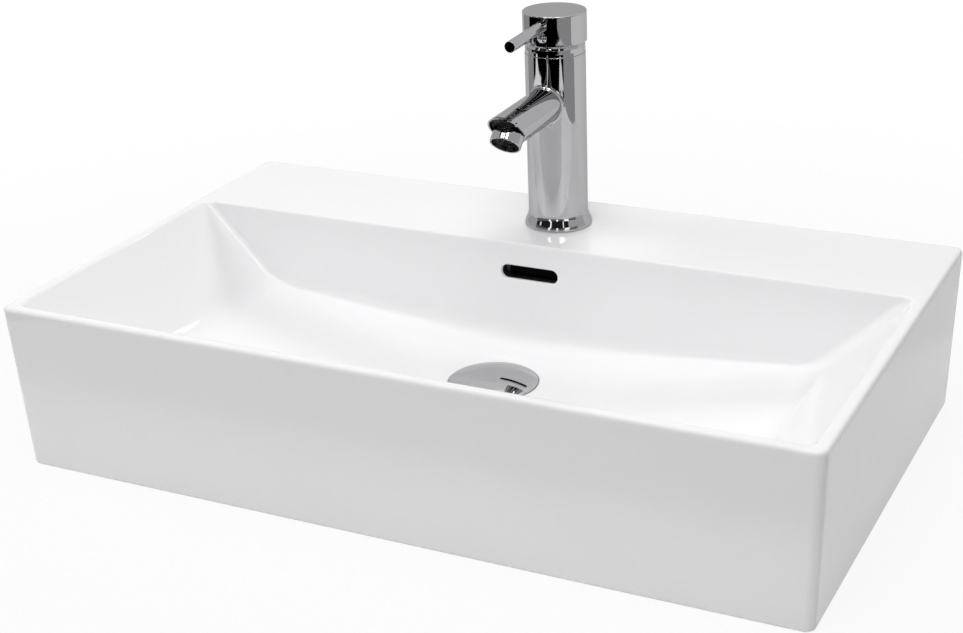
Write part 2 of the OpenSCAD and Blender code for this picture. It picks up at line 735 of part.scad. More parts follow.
round_steps = 5;
module cap_profile() {
    roof_z = lever_z + 0.7;
    polygon(concat(
        [[cap_bore_r, cap_z], [cap_r - 0.3, cap_z], [cap_r, cap_z + 0.3]],
        [for (k = [0:round_steps])
            let (a = 90 * k / round_steps)
            [cap_r - cap_round + cap_round * cos(a), cap_top_z - cap_round + cap_round * sin(a)]],
        [[0, cap_top_z], [0, roof_z], [cap_bore_r, roof_z]]
    ));
}
module handle_cap() {
    socket = stem_w + 2 * thread_clear;
    hub_bottom = cap_z + 3;
    plug_seat = cap_r - 3;
    color(CHROME) at_tap() difference() {
        union() {
            rotate_extrude() cap_profile();
            translate([0, 0, hub_bottom]) cylinder(r = hub_r, h = lever_z + 1 - hub_bottom);
            intersection() {
                union() {
                    translate([0, 0, plug_z]) rod(grub_d / 2 + 1.7, hub_r - 2, cap_r);
                    translate([0, 0, plug_z]) rod(plug_d / 2 + 1, cap_bore_r - 2.6, cap_r);
                    at_lever() rod(lever_stud_d / 2 + 2.5, hub_r - 2, cap_r);
                }
                translate([0, 0, cap_z]) cylinder(r = cap_r - 0.5, h = cap_h - 1);
            }
        }
        translate([-socket / 2, -socket / 2, cap_z]) cube([socket, socket, lever_rise]);
        translate([0, 0, plug_z]) rod(grub_d / 2 + thread_clear, 0, cap_r);
        translate([0, 0, plug_z]) rod(plug_d / 2 + thread_clear, plug_seat, cap_r + over);
        at_lever() rod(lever_stud_d / 2 + thread_clear, 12.5, cap_r);
        at_lever() rod(lever_d / 2 + 0.1, lever_seat_y, cap_r + over);
    }
}
module lever_rod() {
    chamfer = 0.5;
    color(CHROME) at_tap() at_lever() union() {
        rod(lever_stud_d / 2, 13, lever_seat_y + 1);
        rod(lever_d / 2, lever_seat_y, lever_reach - chamfer);
        translate([0, -lever_reach + chamfer, 0]) rotate([90, 0, 0])
            cylinder(r1 = lever_d / 2, r2 = lever_d / 2 - chamfer, h = chamfer);
    }
}
module grub_screw() {
    tip = stem_w / 2;
    end = tip + 10;
    color(STEEL) at_tap() translate([0, 0, plug_z]) difference() {
        rod(grub_d / 2, tip, end);
        translate([0, -end + 2.5, 0]) rotate([90, 0, 0]) cylinder(d = grub_d * 0.57, h = 3, $fn = 6);
    }
}
module index_plug() {
    seat = cap_r - 3;
    crown = 0.35;
    edge = sqrt(cap_r * cap_r - plug_d * plug_d / 4) - 0.4;
    dome = (plug_d * plug_d / 4 + crown * crown) / (2 * crown);
    color(CHROME) at_tap() translate([0, 0, plug_z]) intersection() {
        rod(plug_d / 2, seat, edge + crown);
        translate([0, dome - edge - crown, 0]) sphere(r = dome, $fn = 192);
    }
}

module aerator_housing() {
    step_z = -3;
    color(CHROME) at_tap() at_aerator() difference() {
        union() {
            rotate_extrude() polygon([
                [0, -aerator_len], [aerator_d / 2 - 0.5, -aerator_len], [aerator_d / 2, 0.5 - aerator_len],
                [aerator_d / 2, 0], [0, 0]
            ]);
            cylinder(d = aerator_thread_d, h = aerator_thread_len);
        }
        translate([0, 0, -aerator_len - over]) cylinder(d = mouth_d, h = aerator_len + over + step_z);
        translate([0, 0, -aerator_len]) cylinder(r = mouth_d / 2 - 1, h = 3 * aerator_len);
    }
}
module aerator_insert() {
    step_z = -3;
    plate_z = step_z - 1.5;
    hole_pitch = 3.6;
    color(RUBBER) at_tap() at_aerator() difference() {
        union() {
            translate([0, 0, plate_z]) cylinder(r = mouth_d / 2 - thread_clear, h = step_z - plate_z);
            translate([0, 0, plate_z]) cylinder(r = mouth_d / 2 - 1 - thread_clear, h = 6);
        }
        for (k = [0:2], i = [0:max(0, 6 * k - 1)])
            rotate([0, 0, k == 0 ? 0 : 60 * i / k]) translate([k * hole_pitch, 0, plate_z - over])
                cylinder(r = 1.2, h = 8);
    }
}
module aerator_washer() {
    color(RUBBER) at_tap() at_aerator()
        ring(mouth_d / 2 - 2, aerator_thread_d / 2, aerator_thread_len, aerator_washer_t);
}

module fixing_stud() {
    color(STEEL) at_tap() translate([0, stud_back, -stud_drop])
        cylinder(d = stud_d, h = stud_drop + stud_hole_h - 1);
}
module horseshoe(t) {
    difference() {
        cylinder(d = horseshoe_d, h = t);
        translate([0, -horseshoe_y, -over]) cylinder(d = horseshoe_gap, h = t + 2 * over);
        translate([-horseshoe_gap / 2, -horseshoe_y - horseshoe_d, -over])
            cube([horseshoe_gap, horseshoe_d, t + 2 * over]);
        translate([0, stud_back, -over]) cylinder(r = stud_d / 2 + clear, h = t + 2 * over);
    }
}
pad_z = -ledge_t - pad_t;
plate_under_z = pad_z - horseshoe_t;
module horseshoe_gasket() {
    color(RUBBER) at_tap() translate([0, 0, pad_z]) horseshoe(pad_t);
}
module horseshoe_plate() {
    color(STEEL) at_tap() translate([0, 0, plate_under_z]) horseshoe(horseshoe_t);
}
module fixing_nut() {
    color(BRASS) at_tap() translate([0, stud_back, plate_under_z - nut_h]) difference() {
        cylinder(r = nut_af / sqrt(3), h = nut_h, $fn = 6);
        translate([0, 0, -over]) cylinder(r = stud_d / 2 + thread_clear, h = nut_h + 2 * over);
    }
}

module at_waste() {
    translate([0, waste_y, 0]) children();
}
module waste_body() {
    windows = 4;
    window_w = 12;
    arms = 3;
    arm_w = 3;
    funnel = 3.2;
    color(CHROME) at_waste() difference() {
        union() {
            rotate_extrude() polygon([
                [tail_bore / 2, tail_end], [free_thread_r - 0.4, tail_end], [free_thread_r, tail_end + 0.5],
                [free_thread_r, free_thread_z], [tail_r, free_thread_z], [tail_r, flange_z],
                [flange_d / 2, flange_z], [flange_d / 2, flange_z + 0.8],
                [flange_d / 2 - 0.8, flange_top_z],
                [tail_bore / 2 + funnel, flange_top_z], [tail_bore / 2, flange_top_z - funnel]
            ]);
            translate([0, 0, hub_z]) cylinder(r = click_d / 2 + 3, h = hub_h);
            for (k = [0:arms - 1]) rotate([0, 0, 90 + 360 / arms * k])
                translate([click_d / 2 + 1, -arm_w / 2, hub_z])
                    cube([tail_bore / 2 + 0.6 - click_d / 2, arm_w, hub_h]);
        }
        for (k = [0:windows - 1]) rotate([0, 0, 45 + 360 / windows * k])
            translate([tail_bore / 2 - 3, -window_w / 2, duct_z]) cube([tail_r, window_w, duct_h]);
        translate([0, 0, hub_z - over]) cylinder(r = click_d / 2 + thread_clear, h = hub_h + 2 * over);
    }
}
module waste_flange_seal() {
    color(RUBBER) at_waste() ring(waste_hole_d / 2 + 1, flange_d / 2 - 1, waste_seal_z, seal_t);
}
cap_seal_r = tail_bore / 2 + 6;
module waste_cap() {
    top_z = waste_cap_z + waste_cap_edge;
    crown_r = (pow(waste_cap_r - 1, 2) + pow(waste_dome, 2)) / (2 * waste_dome);
    half = asin((waste_cap_r - 1) / crown_r);
    color(CHROME) at_waste() difference() {
        union() {
            rotate_extrude() polygon(concat(
                [[0, waste_cap_z], [waste_cap_r - 0.5, waste_cap_z], [waste_cap_r, waste_cap_z + 0.5]],
                [[waste_cap_r, top_z - 0.6], [waste_cap_r - 0.3, top_z - 0.15]],
                [for (k = [0:9])
                    let (a = half * (1 - k / 9))
                    [crown_r * sin(a), top_z + waste_dome - crown_r * (1 - cos(a))]]
            ));
            translate([0, 0, click_top_z + 1]) cylinder(r = stem_d / 2 + 2, h = waste_cap_z - click_top_z);
        }
        translate([0, 0, click_top_z])
            cylinder(r = stem_d / 2 + thread_clear, h = stem_top_w - click_top_z);
        ring(cap_seal_r - 0.1, cap_seal_r + 4.1, waste_cap_z - over, over + cap_seal_t - cap_gap);
    }
}
module waste_cap_seal() {
    color(RUBBER) at_waste() ring(cap_seal_r, cap_seal_r + 4, flange_top_z, cap_seal_t);
}
module waste_stem() {
    color(BRASS) at_waste() union() {
        translate([0, 0, collar_z]) cylinder(r = click_bore_r - clear, h = collar_h);
        translate([0, 0, collar_z]) cylinder(d = stem_d, h = stem_top_w - collar_z);
    }
}
module click_cartridge() {
    color(BRASS) at_waste() difference() {
        union() {
            translate([0, 0, click_z]) cylinder(d = click_d, h = click_top_z - click_z);
            translate([0, 0, click_flange_z]) cylinder(r = click_d / 2 + 2, h = 2);
        }
        translate([0, 0, spring_z]) cylinder(r = click_bore_r, h = click_roof_z - spring_z);
        translate([0, 0, spring_z]) cylinder(r = stem_d / 2 + 0.08, h = click_top_z);
    }
}

// The spring is one tube along a helix, just clear of its seat and of the stem's collar
wire_sides = 6;
turn_steps = 18;
spring_clear = 0.1;
module click_spring() {
    r = wire_d / 2;
    mean_r = click_bore_r - clear - r;
    low = spring_z + spring_clear + r;
    rise = collar_z - spring_z - 2 * spring_clear - wire_d;
    steps = spring_turns * turn_steps;
    centres = [
        for (k = [0:steps])
            let (a = 360 * k / turn_steps)
            [mean_r * cos(a), mean_r * sin(a), low + rise * k / steps]
    ];
    gaps = [for (k = [turn_steps:steps]) norm(centres[k] - centres[k - turn_steps]) - wire_d];
    echo("least gap between the spring's turns", min(gaps));
    points = [
        for (k = [0:steps])
            for (s = [0:wire_sides - 1])
                let (b = 360 * s / wire_sides + 30, grow = 1 + r * cos(b) / mean_r)
                [centres[k].x * grow, centres[k].y * grow, centres[k].z + r * sin(b)]
    ];
    sides = [
        for (k = [0:steps - 1], s = [0:wire_sides - 1])
            let (a = k * wire_sides + s, b = k * wire_sides + (s + 1) % wire_sides)
            each [[a, b, b + wire_sides], [a, b + wire_sides, a + wire_sides]]
    ];
    start = [for (s = [0:wire_sides - 1]) wire_sides - 1 - s];
    end = [for (s = [0:wire_sides - 1]) steps * wire_sides + s];
    color(STEEL) at_waste() polyhedron(points = points, faces = concat([start], sides, [end]));
}
module waste_lower_washer() {
    color(RUBBER) at_waste() ring(tail_r + clear, tail_r + lower_washer_w, washer_z, lower_washer_t);
}
module waste_backnut() {
    color(BRASS) at_waste() translate([0, 0, backnut_z]) difference() {
        cylinder(r = backnut_af / sqrt(3), h = backnut_h, $fn = 6);
        translate([0, 0, -over]) cylinder(r = tail_r + thread_clear, h = backnut_h + 2 * over);
    }
}

basin();
tap_body();
base_gasket();
cartridge_housing();
cartridge_base();
cartridge_seals();
fixed_disc();
moving_disc();
disc_carrier();
cartridge_rotor();
cartridge_stem();
stem_pin();
cartridge_nut();
dome_ring();
handle_cap();
lever_rod();
grub_screw();
index_plug();
aerator_housing();
aerator_insert();
aerator_washer();
fixing_stud();
horseshoe_gasket();
horseshoe_plate();
fixing_nut();
waste_body();
waste_flange_seal();
waste_cap();
waste_cap_seal();
waste_stem();
click_cartridge();
click_spring();
waste_lower_washer();
waste_backnut();
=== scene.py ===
# A white countertop basin with its mixer tap and its waste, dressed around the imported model.
import json
import math
import bmesh
import bpy
from mathutils import Matrix, Vector


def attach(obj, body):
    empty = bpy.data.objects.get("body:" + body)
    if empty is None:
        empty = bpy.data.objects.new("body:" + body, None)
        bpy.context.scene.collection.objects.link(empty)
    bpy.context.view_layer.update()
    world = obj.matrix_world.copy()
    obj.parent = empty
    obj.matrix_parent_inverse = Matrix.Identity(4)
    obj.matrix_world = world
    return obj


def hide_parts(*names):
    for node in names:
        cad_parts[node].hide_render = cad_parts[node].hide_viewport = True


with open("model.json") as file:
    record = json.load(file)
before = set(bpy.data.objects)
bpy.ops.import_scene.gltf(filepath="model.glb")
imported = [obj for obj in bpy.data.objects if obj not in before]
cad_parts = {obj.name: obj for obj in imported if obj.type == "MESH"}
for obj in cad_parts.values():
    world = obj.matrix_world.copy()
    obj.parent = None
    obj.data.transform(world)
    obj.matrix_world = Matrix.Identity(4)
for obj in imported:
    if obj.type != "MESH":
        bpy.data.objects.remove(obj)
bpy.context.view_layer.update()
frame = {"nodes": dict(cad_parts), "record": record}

MM = 0.001
scene = bpy.context.scene

# Camera: a long lens on the photograph's frame, above and to the right of the basin.
# The frame and the focal length are in pixels, the sensor in millimetres, places in metres, and angles
# in degrees.
IMAGE_W = 963
FOCAL_PIXELS = 1816.9
SENSOR_W = 36.0
NEAREST_SEEN = 0.05
CAMERA_AT = (0.5452, -1.0850, 0.6089)
CAMERA_AZIMUTH = 27.0
CAMERA_ELEVATION = 22.97
CAMERA_ROLL = -2.25

# Basin, in millimetres
BASIN_HX = 300.0
BASIN_HY = 177.5
BASIN_H = 125.0
WALL_DRAFT = 5.0
CORNER_R = 7.0
RIM_ROUND = 3.5
RIM_EASE = 0.5
LIP_ROUND = 2.5
FOOT_ROUND = 2.0
RIM_T = 8.5
WALL_T = 9.5
LEDGE_D = 109.0
LEDGE_T = 12.0
BOWL_T = 9.5
SIDE_SLOPE = 61.5
BACK_SLOPE = 6.5
FRONT_SLOPE = 9.0
FOOT_SIDE_Z = 66.0
FOOT_BACK_Z = 51.0
FOOT_FRONT_Z = 56.0
DRAIN_Z = 42.0
FLOOR_FILLET = 12.0
BOWL_CORNER_R = 9.0
FLOOR_CORNER_R = 15.0
DRAIN_RING_R = 37.0
FLANGE_SEAT_Z = 38.2
BOSS_R = 42.0
BOSS_Z = 19.5
SLOT_W = 46.5
SLOT_H = 10.6
SLOT_Z = 102.0
SLOT_LIP = 1.3
SLOT_GLAZE = 3.0
DUCT_Z = 25.0
DUCT_H = 7.0
DUCT_W = 52.0
DUCT_D = 12.0
DUCT_WALL = 7.0
DUCT_SHELF_T = 2.0
DUCT_ROOT = 8.0
DUCT_BITE = 1.5
LEDGE_BITE = 1.0
TAP_HOLE_R = 17.5
WASTE_HOLE_R = 23.0
WASTE_RECESS_R = 34.0

# The basin's hollow underside, in millimetres and shares: its rings step in from the skirt to the boss
SKIRT_CORNER_R = 6.0
UNDER_GAP = 0.5
UNDER_WALL_SHARE = 0.72
UNDER_WALL_IN = 4.0
UNDER_WALL_R = 3.0
UNDER_FOOT_OUT = 2.0
UNDER_FOOT_IN = 12.0
UNDER_FOOT_THICKER = 1.15
UNDER_FLOOR_SHARE = 0.4
UNDER_FRONT_DROP = 2.0

# Tap, in millimetres, with heights above the ledge
TAP_Y = 123.0
TAP_SEAT_Z = 0.3
COLUMN_R = 22.9
COLUMN_H = 135.5
COLUMN_BORE_R = 19.0
FLARE_R = 25.9
FLARE_H = 11.5
FLARE_EDGE = 0.9
NECK_R = 21.1
NECK_TOP_Z = 139.6
NECK_BORE_R = 19.1
NECK_BORE_Z = 100.0
SPOUT_R = 13.5
SPOUT_Z = 100.0
SPOUT_REACH = 87.0
SPOUT_FALL = 1.0
SPOUT_FILLET = 2.6
CUT_ANGLE = 45.0
AERATOR_R = 11.6
AERATOR_LEN = 9.3
AERATOR_SHIFT = 4.25
AERATOR_THREAD_R = 11.0
AERATOR_BORE_R = 9.3
SLEEVE_TOP = 6.5
SOCKET_DEPTH = 7.5
MOUTH_R = 10.3
MOUTH_EDGE = 1.1
MOUTH_DEPTH = 2.5
CAP_R = 24.0
CAP_Z = 144.0
CAP_TOP_Z = 166.7
CAP_BORE_R = 21.8
CAP_ROOF_Z = 161.0
CAP_BOSS_R = 8.46
CAP_BOSS_Z = 147.0
LEVER_R = 4.25
LEVER_Z = 160.3
LEVER_FALL = 2.0
LEVER_SEAT = 22.5
LEVER_REACH = 78.0
PIVOT_Z = 131.5
DOME_R = 24.43
RING_R = 22.6
RING_TOP_Z = 144.2
RING_GAP = 0.02
RING_SOCKET_R = 21.4
RING_SOCKET_Z = 139.9
RING_BORE_R = 19.4
RING_LIP_R = 18.0
RING_LIP_Z = 142.4
PLUG_R = 4.1
PLUG_Z = 150.6
PLUG_DEPTH = 3.0
PLUG_GAP = 0.12
PLUG_SINK = 0.4
PLUG_DOME_ANGLE = 38

# Waste cap, in millimetres
WASTE_CAP_R = 33.3
WASTE_CAP_Z = 41.4
WASTE_CAP_EDGE = 1.6
WASTE_CAP_SHOULDER = 1.0
WASTE_DOME = 5.5
WASTE_BOSS_R = 6.0
WASTE_BOSS_END_R = 5.0
WASTE_BOSS_Z = 33.0

# How far a cutter passes the face that it cuts, in millimetres
CUT_PAST = 5.0
# Points of a mesh that are closer than this, in metres, are one
WELD = 1e-7
# Edges sharper than these, in degrees, stay sharp
EDGE_ANGLE = 35
BASIN_EDGE_ANGLE = 32
TAP_EDGE_ANGLE = 38
# Points round a turned piece or the spout
WIDE_STEPS = 192
SLEEVE_STEPS = 160
NARROW_STEPS = 96
# Sockets of a node that mixes colours, which share their names with its sockets for numbers
MIX_A = 6
MIX_B = 7
MIX_OUT = 2


def linear(hex_colour):
    """A colour written as #rrggbb in sRGB, as the linear RGBA that a shader takes."""
    values = [int(hex_colour[i:i + 2], 16) / 255 for i in (1, 3, 5)]
    return [v / 12.92 if v <= 0.04045 else ((v + 0.055) / 1.055) ** 2.4 for v in values] + [1.0]


def add(tree, kind, settings=None, links=None):
    """A node with its settings, which are socket values or properties, and the sockets that feed it."""
    node = tree.nodes.new(kind)
    for name, value in (settings or {}).items():
        if isinstance(name, int) or name in node.inputs:
            node.inputs[name].default_value = value
        else:
            setattr(node, name, value)
    for name, source in (links or {}).items():
        tree.links.new(source, node.inputs[name])
    return node


def new_material(name):
    """An empty material and its node tree, with only an output."""
    material = bpy.data.materials.new(name)
    material.use_nodes = True
    tree = material.node_tree
    tree.nodes.clear()
    return material, tree, add(tree, "ShaderNodeOutputMaterial")


def per_mm(size):
    """The noise scale at which one feature is about size millimetres across, in object space."""
    return 1.0 / (size * MM)


def glazed_china():
    # Vitreous china under a clear fired glaze: white, wet gloss, a faint ripple in the glaze, and
    # a bare biscuit line on the foot where the piece stood in the kiln
    material, tree, output = new_material("glazed_china")
    place = add(tree, "ShaderNodeTexCoord").outputs["Object"]
    pool = add(tree, "ShaderNodeTexNoise", {"Scale": per_mm(90), "Detail": 2.0}, {"Vector": place})
    tint = add(tree, "ShaderNodeValToRGB", links={"Fac": pool.outputs["Fac"]})
    tint.color_ramp.elements[0].color = linear("#f5f5f6")
    tint.color_ramp.elements[1].color = linear("#f8f8f9")
    height = add(tree, "ShaderNodeSeparateXYZ", links={"Vector": place})
    rough_edge = add(tree, "ShaderNodeTexNoise", {"Scale": per_mm(6), "Detail": 3.0}, {"Vector": place})
    waver = add(tree, "ShaderNodeMath", {"operation": "MULTIPLY_ADD", 1: 0.8 * MM, 2: 0.4 * MM},
                {0: rough_edge.outputs["Fac"]})
    bare = add(tree, "ShaderNodeMath", {"operation": "LESS_THAN"},
               {0: height.outputs["Z"], 1: waver.outputs["Value"]})
    colour = add(tree, "ShaderNodeMix", {"data_type": "RGBA", MIX_B: linear("#e4dfd4")},
                 {"Factor": bare.outputs["Value"], MIX_A: tint.outputs["Color"]})
    gloss = add(tree, "ShaderNodeMapRange", {"To Min": 0.045, "To Max": 0.75},
                {"Value": bare.outputs["Value"]})
    ripple = add(tree, "ShaderNodeTexNoise", {"Scale": per_mm(34), "Detail": 1.0}, {"Vector": place})
    bump = add(tree, "ShaderNodeBump", {"Strength": 0.12, "Distance": 0.6 * MM},
               {"Height": ripple.outputs["Fac"]})
    china = add(tree, "ShaderNodeBsdfPrincipled", {"IOR": 1.5},
                {"Base Color": colour.outputs[MIX_OUT], "Roughness": gloss.outputs["Result"],
                 "Normal": bump.outputs["Normal"]})
    tree.links.new(china.outputs["BSDF"], output.inputs["Surface"])
    return material


def chrome_plate(name, shade, rough):
    # Bright chrome on polished brass: a neutral mirror, with a breath of water haze in patches.
    # It whitens less than a bare metal does where it is seen edge on.
    material, tree, output = new_material(name)
    place = add(tree, "ShaderNodeTexCoord").outputs["Object"]
    haze = add(tree, "ShaderNodeTexNoise", {"Scale": per_mm(14), "Detail": 4.0}, {"Vector": place})
    gloss = add(tree, "ShaderNodeMapRange", {"To Min": rough, "To Max": rough * 2.0},
                {"Value": haze.outputs["Fac"]})
    chrome = add(tree, "ShaderNodeBsdfPrincipled",
                 {"Base Color": linear(shade), "Metallic": 1.0, "Specular Tint": linear("#d9d9d9")},
                 {"Roughness": gloss.outputs["Result"]})
    tree.links.new(chrome.outputs["BSDF"], output.inputs["Surface"])
    return material


def metal(name, shade, rough, grain_mm, streak):
    # Machined metal: fine tool marks that spread the gloss
    material, tree, output = new_material(name)
    place = add(tree, "ShaderNodeTexCoord").outputs["Object"]
    lie = add(tree, "ShaderNodeMapping", {"Scale": (1.0, 1.0, streak)}, {"Vector": place})
    marks = add(tree, "ShaderNodeTexNoise", {"Scale": per_mm(grain_mm), "Detail": 5.0},
                {"Vector": lie.outputs["Vector"]})
    gloss = add(tree, "ShaderNodeMapRange", {"To Min": rough * 0.7, "To Max": rough * 1.4},
                {"Value": marks.outputs["Fac"]})
    bump = add(tree, "ShaderNodeBump", {"Strength": 0.25, "Distance": 0.05 * MM},
               {"Height": marks.outputs["Fac"]})
    surface = add(tree, "ShaderNodeBsdfPrincipled", {"Base Color": linear(shade), "Metallic": 1.0},
                  {"Roughness": gloss.outputs["Result"], "Normal": bump.outputs["Normal"]})
    tree.links.new(surface.outputs["BSDF"], output.inputs["Surface"])
    return material


def moulded(name, shade, worn, rough, grain_mm):
    # Rubber, plastic, clay or raw metal from a mould: matt skin, fine grain and slight shifts of shade
    material, tree, output = new_material(name)
    place = add(tree, "ShaderNodeTexCoord").outputs["Object"]
    grain = add(tree, "ShaderNodeTexNoise", {"Scale": per_mm(grain_mm), "Detail": 6.0}, {"Vector": place})
    tint = add(tree, "ShaderNodeValToRGB", links={"Fac": grain.outputs["Fac"]})
    tint.color_ramp.elements[0].color = linear(shade)
    tint.color_ramp.elements[1].color = linear(worn)
    bump = add(tree, "ShaderNodeBump", {"Strength": 0.3, "Distance": 0.1 * MM},
               {"Height": grain.outputs["Fac"]})
    surface = add(tree, "ShaderNodeBsdfPrincipled", {"Roughness": rough, "IOR": 1.5},
                  {"Base Color": tint.outputs["Color"], "Normal": bump.outputs["Normal"]})
    tree.links.new(surface.outputs["BSDF"], output.inputs["Surface"])
    return material


CHINA = glazed_china()
CHROME = chrome_plate("chrome_plate", "#bcbcbe", 0.02)
# The waste cap's plate: a paler, slightly smoother copy of the tap's chrome, with painted light that makes
# it mirror brighter
WASTE_CHROME_PAINTED_PALER = chrome_plate("waste_chrome_painted_paler", "#cbcbcd", 0.015)
# Painted shade for the hollow in the spout's cut end: drawn near black, as that hollow looks in its own
# shade
MOUTH_PAINTED_SHADE = moulded("mouth_painted_shade", "#131314", "#1f1e1d", 0.6, 0.7)
# Painted shade on the unglazed clay of the overflow duct: near black, because hardly any light gets in
DUCT_PAINTED_SHADE = moulded("duct_painted_shade", "#0b0a09", "#141210", 0.85, 1.5)
# Moulded rubber of the gaskets and seals: dull and nearly black
RUBBER = moulded("moulded_rubber", "#1d1d1f", "#2c2c2e", 0.62, 0.8)
# Moulded acetal of the cartridge: cream, with a waxy half gloss
ACETAL = moulded("moulded_acetal", "#ddd8c9", "#e8e4d8", 0.38, 1.2)
# Moulded grey acetal of the aerator's insert, drawn near black: painted shade deep inside its sleeve
GREY_ACETAL_PAINTED_SHADE = moulded("grey_acetal", "#0d0d0e", "#151516", 0.45, 1.2)
# Alumina of the two discs, lapped flat: pale and smooth
ALUMINA = moulded("lapped_alumina", "#dedbd3", "#e9e7e1", 0.16, 0.6)
# Turned brass of the nuts and stems: warm, with tool marks round them
BRASS = metal("turned_brass", "#d0ac63", 0.24, 0.5, 6.0)
# Stainless steel of the pins, stud, plate and spring: grey, with fine marks
STEEL = metal("stainless_steel", "#b4b6b8", 0.28, 0.4, 4.0)
FINISHES = {
    "glazed_china": CHINA,
    "chrome_plate": CHROME,
    "black_rubber": RUBBER,
    "cream_acetal": ACETAL,
    "grey_acetal": GREY_ACETAL_PAINTED_SHADE,
    "white_alumina": ALUMINA,
    "plain_brass": BRASS,
    "stainless_steel": STEEL,
}


def finish_of(node):
    """The material slot that the record gives a node."""
    return next(s["material_slot"] for s in frame["record"]["subparts"] if s["node"] == node)


def body_of(node):
    """The body that carries a node."""
    bodies = frame["record"]["behaviour"]["bodies"]
    return next(body for body, nodes in bodies.items() if node in nodes)


def piece_of(name, points, faces, stands_for=None, place=None):
    """A mesh piece from points in millimetres, which may take a node's place, body and finish."""
    mesh = bpy.data.meshes.new(name)
    matrix = place or Matrix.Identity(4)
    mesh.from_pydata([(matrix @ Vector(p)) * MM for p in points], [], faces)
    shaped = bmesh.new()
    shaped.from_mesh(mesh)
    bmesh.ops.remove_doubles(shaped, verts=shaped.verts, dist=WELD)
    bmesh.ops.recalc_face_normals(shaped, faces=shaped.faces)
    shaped.to_mesh(mesh)
    shaped.free()
    piece = bpy.data.objects.new(name, mesh)
    scene.collection.objects.link(piece)
    shade(piece, EDGE_ANGLE)
    if stands_for:
        finish = finish_of(stands_for)
        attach(piece, body_of(stands_for))
        mesh.materials.append(FINISHES[finish])
        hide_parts(stands_for)
    return piece


def shade(piece, edge_angle):
    """Smooth shading, but for edges sharper than the angle in degrees."""
    piece.data.polygons.foreach_set("use_smooth", [True] * len(piece.data.polygons))
    piece.data.set_sharp_from_angle(angle=math.radians(edge_angle))


def even_normals(piece, edge_angle=EDGE_ANGLE):
    """Smooth shading led by the broad faces, so a narrow rounding doesn't bend the mirror beside it."""
    shade(piece, edge_angle)
    weigh = piece.modifiers.new("even_normals", "WEIGHTED_NORMAL")
    weigh.keep_sharp = True
    settle(piece)


def settle(piece):
    """The piece with its modifiers made part of its mesh."""
    graph = bpy.context.evaluated_depsgraph_get()
    made = bpy.data.meshes.new_from_object(piece.evaluated_get(graph))
    piece.modifiers.clear()
    piece.data = made


def combine(piece, tool, operation):
    """The piece cut by, or joined with, a tool piece, which is then gone."""
    step = piece.modifiers.new("combine", "BOOLEAN")
    step.object = tool
    step.operation = operation
    step.solver = "EXACT"
    settle(piece)
    bpy.data.objects.remove(tool)


def finish_faces(piece, material, chosen):
    """A second finish for the faces that chosen picks by their middle, in millimetres, and normal."""
    piece.data.materials.append(material)
    added = len(piece.data.materials) - 1
    for face in piece.data.polygons:
        if chosen(face.center / MM, face.normal):
            face.material_index = added


def shares(count):
    """Even steps from 0 to 1, both included."""
    return [k / count for k in range(count + 1)]


def turned(outline, steps):
    """Points and faces of a closed outline of (radius, height) turned about the Z axis."""
    points, faces = [], []
    count = len(outline)
    for k in range(steps):
        a = 2 * math.pi * k / steps
        points += [(r * math.cos(a), r * math.sin(a), z) for r, z in outline]
    for k in range(steps):
        here, beyond = k * count, (k + 1) % steps * count
        for i in range(count):
            after = (i + 1) % count
            faces.append((here + i, here + after, beyond + after, beyond + i))
    return points, faces


def drum(r, z0, z1, steps=128, y=0.0):
    """A plain round tool for cutting."""
    points, faces = turned([(0, z0), (r, z0), (r, z1), (0, z1)], steps)
    return [(px, py + y, pz) for px, py, pz in points], faces


def rounded(corners, steps=4):
    """An outline whose corners, given as (radius, height, rounding), are rounded by that much.

    Where a side is short, the rounding at its end takes a little under half of it.
    """
    share_at_most = 0.49
    outline = []
    count = len(corners)
    for i, (r, z, size) in enumerate(corners):
        here = Vector((r, z))
        before = Vector(corners[i - 1][:2]) - here
        after = Vector(corners[(i + 1) % count][:2]) - here
        if size <= 0:
            outline.append((r, z))
            continue
        start = here + before.normalized() * min(size, before.length * share_at_most)
        end = here + after.normalized() * min(size, after.length * share_at_most)
        for t in shares(steps):
            p = start * (1 - t) ** 2 + here * 2 * t * (1 - t) + end * t ** 2
            outline.append((p.x, p.y))
    return outline


def skin(rings):
    """Points and faces of a closed skin over rings with as many points each, and its two end faces."""
    count = len(rings[0])
    points = [p for ring in rings for p in ring]
    faces = []
    for k in range(len(rings) - 1):
        here, beyond = k * count, (k + 1) * count
        for i in range(count):
            after = (i + 1) % count
            faces.append((here + i, here + after, beyond + after, beyond + i))
    faces += [tuple(range(count)), tuple(range(len(points) - 1, len(points) - count - 1, -1))]
    return points, faces


def prism(outline_yz, width):
    """A block whose side view is the outline, centred across X."""
    count = len(outline_yz)
    points = [(s * width / 2, y, z) for s in (-1, 1) for y, z in outline_yz]
    faces = [tuple(range(count)), tuple(range(2 * count - 1, count - 1, -1))]
    faces += [(i, (i + 1) % count, count + (i + 1) % count, count + i) for i in range(count)]
    return points, faces


# Basin skin: rings round the bowl, over the rim, down the walls and up the hollow underside
CORNER_STEPS = 10
LONG_STEPS = 60
SHORT_STEPS = 28
RISE_POWER = 1.5
FOOT_Y0 = WALL_DRAFT - BASIN_HY
LEDGE_Y = BASIN_HY - LEDGE_D
LEDGE_UNDER_Z = BASIN_H - LEDGE_T
TOP_HX = BASIN_HX - RIM_T
TOP_Y0 = RIM_T - BASIN_HY
FLOOR_HX = TOP_HX - SIDE_SLOPE
FLOOR_Y0 = TOP_Y0 + FRONT_SLOPE
FLOOR_Y1 = LEDGE_Y - BACK_SLOPE
SKIRT_HX = BASIN_HX - WALL_DRAFT - WALL_T
SKIRT_Y0 = FOOT_Y0 + WALL_T
SKIRT_Y1 = BASIN_HY - WALL_T
BEHIND_Y = LEDGE_Y + BOWL_T + UNDER_GAP
DUCT_Y = LEDGE_Y + BOWL_T - DUCT_BITE
DUCT_ROOF_Z = LEDGE_UNDER_Z - DUCT_BITE
